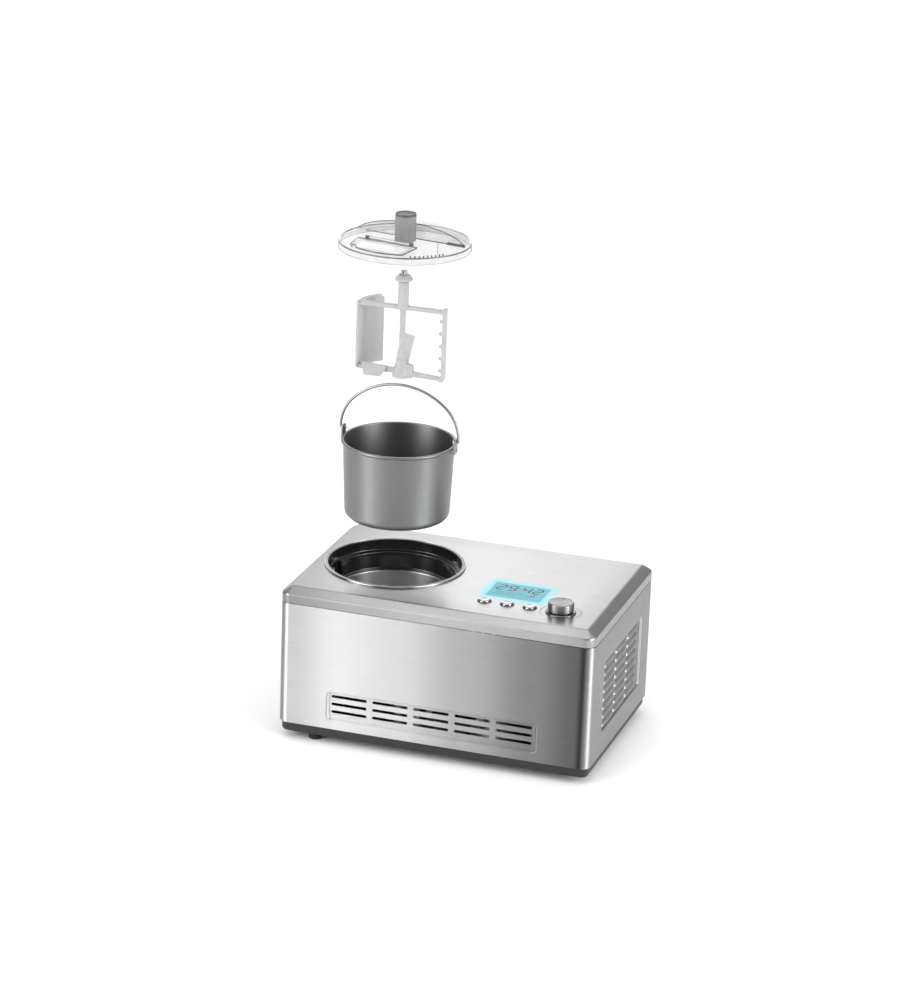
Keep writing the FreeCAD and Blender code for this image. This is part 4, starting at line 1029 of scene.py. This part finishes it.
def shade_narrow(piece, limit):
    """Give a clear piece's narrow side faces the dark edge material: painted shade for the darker look of a
    cut edge.
    """
    piece.data.materials.clear()
    piece.data.materials.append(MATERIALS["clear_lid"])
    piece.data.materials.append(PAINTED_EDGE_SHADE)
    for face in piece.data.polygons:
        face.material_index = 1 if limit(face) else 0


def make_lid():
    """Clear lid: a rimmed pan with vents, the raised rear half, ribs and the filling opening."""
    low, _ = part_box("lid_shell")
    foot = Vector((WELL.x, WELL.y, low.z))
    skirt, plate = 9.5, 2.4
    under = skirt - plate
    pin_low, pin_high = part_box("flap_hinge_pin")
    swivel = Matrix.Rotation(-math.atan2(pin_high.y - pin_low.y - 2 * MM, pin_high.x - pin_low.x), 3, "Z")

    def place(point, d):
        return foot + swivel @ (Vector((point[0], point[1], d)) * MM)

    mesh = bmesh.new()
    outline = [(12.3, under), (83.0, under), (84.4, under - 1.2), (84.4, 0), (86, 0), (86, skirt - 1.4),
               (85.2, skirt + 0.4), (83.2, skirt + 0.9), (81.8, skirt + 0.3), (81.2, skirt), (12.3, skirt)]
    add_turned(mesh, outline, foot, 192, 0.6)
    pan = from_mesh("lid_pan", mesh)
    cuts = bmesh.new()
    add_prism(cuts, [Vector((-11, -45)) + point for point in plan(35, 17, 4, 6)], place,
              (under - 3, skirt + 5))
    for i in range(9):
        angle = math.radians(-56 + 4.2 * i)
        spot = Vector((76.5 * math.cos(angle), 76.5 * math.sin(angle)))
        add_prism(cuts, [spot + point for point in plan(1.0, 1.0, 0.99, 4)], place, (under - 3, skirt + 3))
    carve(pan, cuts)
    smooth(pan, 35)

    # Painted shade on the pan: the rolled rim, the skirt's bottom edge and the vents' walls take the dark
    # edge material.
    def line(face):
        spot = (face.center - foot) / MM
        reach = spot.xy.length
        rolled = spot.z > skirt - 1.5 and (reach > 85.1 or 81 < reach < 82.3)
        return rolled or spot.z < 0.3 or (74 < reach < 79 and abs(face.normal.z) < 0.5)

    shade_narrow(pan, line)
    place_piece(pan, "lid", "clear_lid", "lid_shell")
    dome_front, rise, reach = 14, 21, 80
    shape = [(reach * math.sin(a), skirt - 0.2 + rise * math.cos(a) ** 1.25) for a in
             (math.radians(90 * i / 18) for i in range(19))]

    def dome(inset, front):
        inner = [(max(radius - inset * 1.3, 0), skirt - 0.2 + (height - skirt + 0.2) * (1 - inset / rise))
                 for radius, height in shape]
        half = bmesh.new()
        rings = turn(inner + [(0, skirt - 0.2 - inset)], foot, 128)
        skin(half, rings)
        bmesh.ops.remove_doubles(half, verts=half.verts, dist=1e-7)
        geometry = half.verts[:] + half.edges[:] + half.faces[:]
        cut = bmesh.ops.bisect_plane(half, geom=geometry, plane_co=place((0, front), 0),
                                     plane_no=swivel @ Vector((0, -1, 0)), clear_outer=True)
        edges = [item for item in cut["geom_cut"] if isinstance(item, bmesh.types.BMEdge)]
        bmesh.ops.edgeloop_fill(half, edges=edges)
        return half

    shell = from_mesh("lid_dome", dome(0, dome_front))
    carve(shell, dome(1.6, dome_front + 1.6))
    bore = bmesh.new()
    add_prism(bore, plan(14.3, 14.3, 14.29, 12), place, (0, 60))
    carve(shell, bore)
    settle(round_edges(shell, 0.35, 2, 40))
    smooth(shell, 40)
    place_piece(shell, "lid", "clear_lid")
    mesh = bmesh.new()
    for start, end, height, thick in (((40, 14), (68, -38), 1.6, 0.3), ((54, 13.4), (79, 13.4), 3.0, 1.0)):
        start, end = Vector(start), Vector(end)
        across = (end - start).orthogonal().normalized() * thick
        add_prism(mesh, [start - across, end - across, end + across, start + across], place,
                  (skirt - 0.3, skirt + height))
    # Painted shade lines: thin dark wires along the foot and the arch of the dome's front wall, where the
    # clear plastic shows dark edges.
    painted_lines = [[(x, dome_front + 0.3, skirt + 0.4) for x in (-66, -30, 0, 30, 66)]]
    arch = [(math.sqrt(max(radius ** 2 - dome_front ** 2, 0)), height) for radius, height in shape
            if radius > dome_front]
    arch = [(0, arch[0][1] + 0.1)] + arch
    painted_lines.append([(-x, dome_front + 0.4, height - 0.4) for x, height in reversed(arch[:-1])] +
                 [(x, dome_front + 0.4, height - 0.4) for x, height in arch[1:-1]])
    for painted_line in painted_lines:
        sweep(mesh, [place((x, y), z) for x, y, z in painted_line], 0.6 * MM, 12)
    ribs = from_mesh("lid_ribs_and_painted_lines", mesh)
    smooth(ribs, 40)
    # The ribs and the painted lines take the dark edge material as painted shade.
    place_piece(ribs, "lid", "clear_lid", material=PAINTED_EDGE_SHADE)
    return foot, skirt, place


def make_tower(foot, skirt):
    """Ribbed grey tower with its clear cap and dark top ring."""
    mesh = bmesh.new()

    def ribs(angle, height):
        return -0.32 * abs(math.sin(18 * angle)) if skirt + 1 < height < skirt + 33.5 else 0

    outline = [(12.3, skirt), (13.7, skirt), (13.7, skirt + 1.2), (13.65, skirt + 33), (13.7, skirt + 33.9),
               (12.3, skirt + 33.9)]
    add_turned(mesh, outline, foot, 288, 0.3, ribs=lambda a, h: ribs(a, h))
    tower = smooth(from_mesh("tower_ribbed", mesh), 30)
    place_piece(tower, "lid", "tower_grey", "lid_tower")
    mesh = bmesh.new()
    outline = [(0, skirt + 34), (13.7, skirt + 34), (13.7, skirt + 35.3), (13.0, skirt + 36),
               (11.6, skirt + 36), (11.2, skirt + 35.4), (0, skirt + 35.4)]
    add_turned(mesh, outline, foot, 96, 0.4, closed=False)
    cap = smooth(from_mesh("tower_lens", mesh), 50)
    place_piece(cap, "lid", "clear_lid", "tower_cap")
    mesh = bmesh.new()
    add_turned(mesh, [(12.5, skirt + 35.9), (13.2, skirt + 35.9), (13.5, skirt + 35.6),
                      (13.75, skirt + 33.9), (13.75, skirt + 33.4), (12.4, skirt + 33.9)], foot, 96, 0.2)
    ring = smooth(from_mesh("tower_ring", mesh), 60)
    place_piece(ring, "lid", "tower_grey", material=INK)


def make_flap(place, skirt):
    """Clear filling flap with a finger notch, its barrel and the hinge pin with its knuckles."""
    level = skirt + 0.3
    shape = [Vector((-54.5, -27)), Vector((33, -27))]
    shape += [Vector((77.5 * math.cos(a), 77.5 * math.sin(a))) for a in
              (math.radians(-64 - 3.5 * i) for i in range(19))]
    mesh = bmesh.new()
    shape = softened(shape, 2.0, 3)
    add_prism(mesh, shape, place, (level, level + 2))
    flap = from_mesh("flap_plate", mesh)
    cuts = bmesh.new()
    add_prism(cuts, [Vector((-43, -68)) + point for point in plan(9, 6.5, 6.4, 8)], place,
              (level - 3, level + 6))
    carve(flap, cuts)
    settle(round_edges(flap, 0.35, 2, 50))
    smooth(flap, 40)
    # Painted shade: the flap's narrow side faces take the dark edge material.
    shade_narrow(flap, lambda face: abs(face.normal.z) < 0.6)
    place_piece(flap, "flap", "clear_lid", "lid_flap")
    hinge_y, hinge_height = -22, skirt + 2.4

    def rod(mesh, start, end, radius):
        sweep(mesh, [place((x, hinge_y), hinge_height) for x in (start, (start + end) / 2, end)],
              radius * MM, 24)

    mesh = bmesh.new()
    rod(mesh, -40, 18, 2.15)
    add_prism(mesh, [(-40, -27.6), (18, -27.6), (18, -22.2), (-40, -22.2)], place,
              (level + 0.3, level + 1.9))
    barrel = from_mesh("flap_barrel", mesh)
    settle(round_edges(barrel, 0.3, 2, 50))
    smooth(barrel, 50)
    place_piece(barrel, "flap", "clear_lid")
    mesh = bmesh.new()
    rod(mesh, -45, 23, 1.0)
    pin = smooth(from_mesh("hinge_pin_rod", mesh), 50)
    place_piece(pin, "lid", "screw_steel", "flap_hinge_pin")
    mesh = bmesh.new()
    for x in (-45, 19):
        shape = softened([(-2.4, -0.1), (2.4, -0.1), (2.4, 4.6), (-2.4, 4.6)], 1.6, 4)
        add_prism(mesh, shape, lambda point, d: place((d, hinge_y + point[0]), skirt + point[1]), (x, x + 4))
    knuckles = smooth(from_mesh("lid_knuckles", mesh), 40)
    # Painted shade: the knuckles take the dark edge material all over.
    place_piece(knuckles, "lid", "clear_lid", material=PAINTED_EDGE_SHADE)


# ---- stage ------------------------------------------------------------------------------------------

def make_camera():
    """Camera on the photograph's side: from the right front, above."""
    yaw, pitch, roll = math.radians(-17.54), math.radians(19.32), math.radians(2.13)
    ahead = Vector((math.sin(yaw) * math.cos(pitch), math.cos(yaw) * math.cos(pitch), -math.sin(pitch)))
    right = Vector((math.cos(yaw), -math.sin(yaw), 0))
    upward = right.cross(ahead)
    side = right * math.cos(roll) + upward * math.sin(roll)
    top = upward * math.cos(roll) - right * math.sin(roll)
    data = bpy.data.cameras.new("camera")
    data.lens = 129.6
    data.sensor_width = 36
    data.clip_end = 100
    camera = bpy.data.objects.new("camera", data)
    camera.matrix_world = Matrix(((side.x, top.x, -ahead.x, 1.320), (side.y, top.y, -ahead.y, -4.222),
                                  (side.z, top.z, -ahead.z, 1.864), (0, 0, 0, 1)))
    bpy.context.scene.collection.objects.link(camera)
    bpy.context.scene.camera = camera


# Light from the surround: azimuth from the front towards the right, and elevation, in degrees,
# each with a level.
LIGHT_SCALE = 5.0
ROUND_LIGHT = ((-180, 1.2), (-163, 2.1), (-135, 1.2), (-80, 0.1), (-66, 0.1), (-54, 4.6), (-34, 4.6),
               (-21.5, 3.4), (-15, 0.1), (46, 0.1), (62, 4.2), (88, 4.2), (104, 0.5), (140, 0.4),
               (156, 0.4), (170, 0.4), (180, 1.2))
UPPER_LIGHT = ((0, 0.75), (50, 0.75), (62, 1.2), (74, 1.9), (90, 1.9))


def make_floor():
    """A wide plain pale floor."""
    mesh = bmesh.new()
    bmesh.ops.create_circle(mesh, cap_ends=True, segments=96, radius=30)
    floor = from_mesh("floor", mesh)
    material, tree, shader = fresh("floor_paint")
    patches = noise(tree, 300, detail=2)
    tree.links.new(blended(tree, ranged(tree, patches, 0, 1), (0.90, 0.90, 0.90), (0.92, 0.92, 0.92)),
                   shader.inputs["Base Color"])
    shader.inputs["Roughness"].default_value = 0.9
    shader.inputs["Specular IOR Level"].default_value = 0.1
    floor.data.materials.append(material)


def make_studio():
    """Soft studio: bright boxes at the left front and the right, dim strips between, a pale ring above."""
    world = bpy.data.worlds.new("studio")
    bpy.context.scene.world = world
    world.use_nodes = True
    tree = world.node_tree
    background = tree.nodes["Background"]
    coordinates = tree.nodes.new("ShaderNodeTexCoord")
    parts = tree.nodes.new("ShaderNodeSeparateXYZ")
    tree.links.new(coordinates.outputs["Generated"], parts.inputs["Vector"])
    back = tree.nodes.new("ShaderNodeMath")
    back.operation = "MULTIPLY"
    back.inputs[1].default_value = -1
    tree.links.new(parts.outputs["Y"], back.inputs[0])
    azimuth = tree.nodes.new("ShaderNodeMath")
    azimuth.operation = "ARCTAN2"
    tree.links.new(parts.outputs["X"], azimuth.inputs[0])
    tree.links.new(back.outputs["Value"], azimuth.inputs[1])
    around = level_ramp(tree, ranged(tree, azimuth.outputs["Value"], 0, 1, -math.pi, math.pi),
                        [((angle + 180) / 360, level) for angle, level in ROUND_LIGHT], LIGHT_SCALE)
    above = level_ramp(tree, parts.outputs["Z"], [(math.sin(math.radians(angle)), level)
                                                 for angle, level in UPPER_LIGHT], LIGHT_SCALE)
    share = ranged(tree, parts.outputs["Z"], 0, 1, math.sin(math.radians(30)), math.sin(math.radians(48)))
    tree.links.new(blended(tree, share, around, above), background.inputs["Color"])
    background.inputs["Strength"].default_value = LIGHT_SCALE
    for name, azimuth, reach in (("strip_left", -42, 1.2), ("strip_right", 78, 1.2)):
        angle = math.radians(azimuth)
        data = bpy.data.lights.new(name, "AREA")
        data.shape = "RECTANGLE"
        data.size, data.size_y = 0.26, 0.8
        data.energy = 4
        lamp = bpy.data.objects.new(name, data)
        lamp.location = WELL + Vector((reach * math.sin(angle), -reach * math.cos(angle), 0.42 - WELL.z))
        aim = Vector((WELL.x, WELL.y, 0.42)) - lamp.location
        lamp.rotation_euler = aim.to_track_quat("-Z", "Y").to_euler()
        bpy.context.scene.collection.objects.link(lamp)
    bpy.context.scene.view_settings.view_transform = "Standard"


def main():
    make_camera()
    dress_cad_nodes()
    make_cover()
    make_wrap()
    make_grilles()
    make_feet()
    make_well()
    make_display()
    make_buttons()
    make_knob()
    make_bucket()
    make_ears()
    make_bail()
    make_paddle()
    foot, skirt, place = make_lid()
    make_tower(foot, skirt)
    make_flap(place, skirt)
    make_floor()
    make_studio()


main()
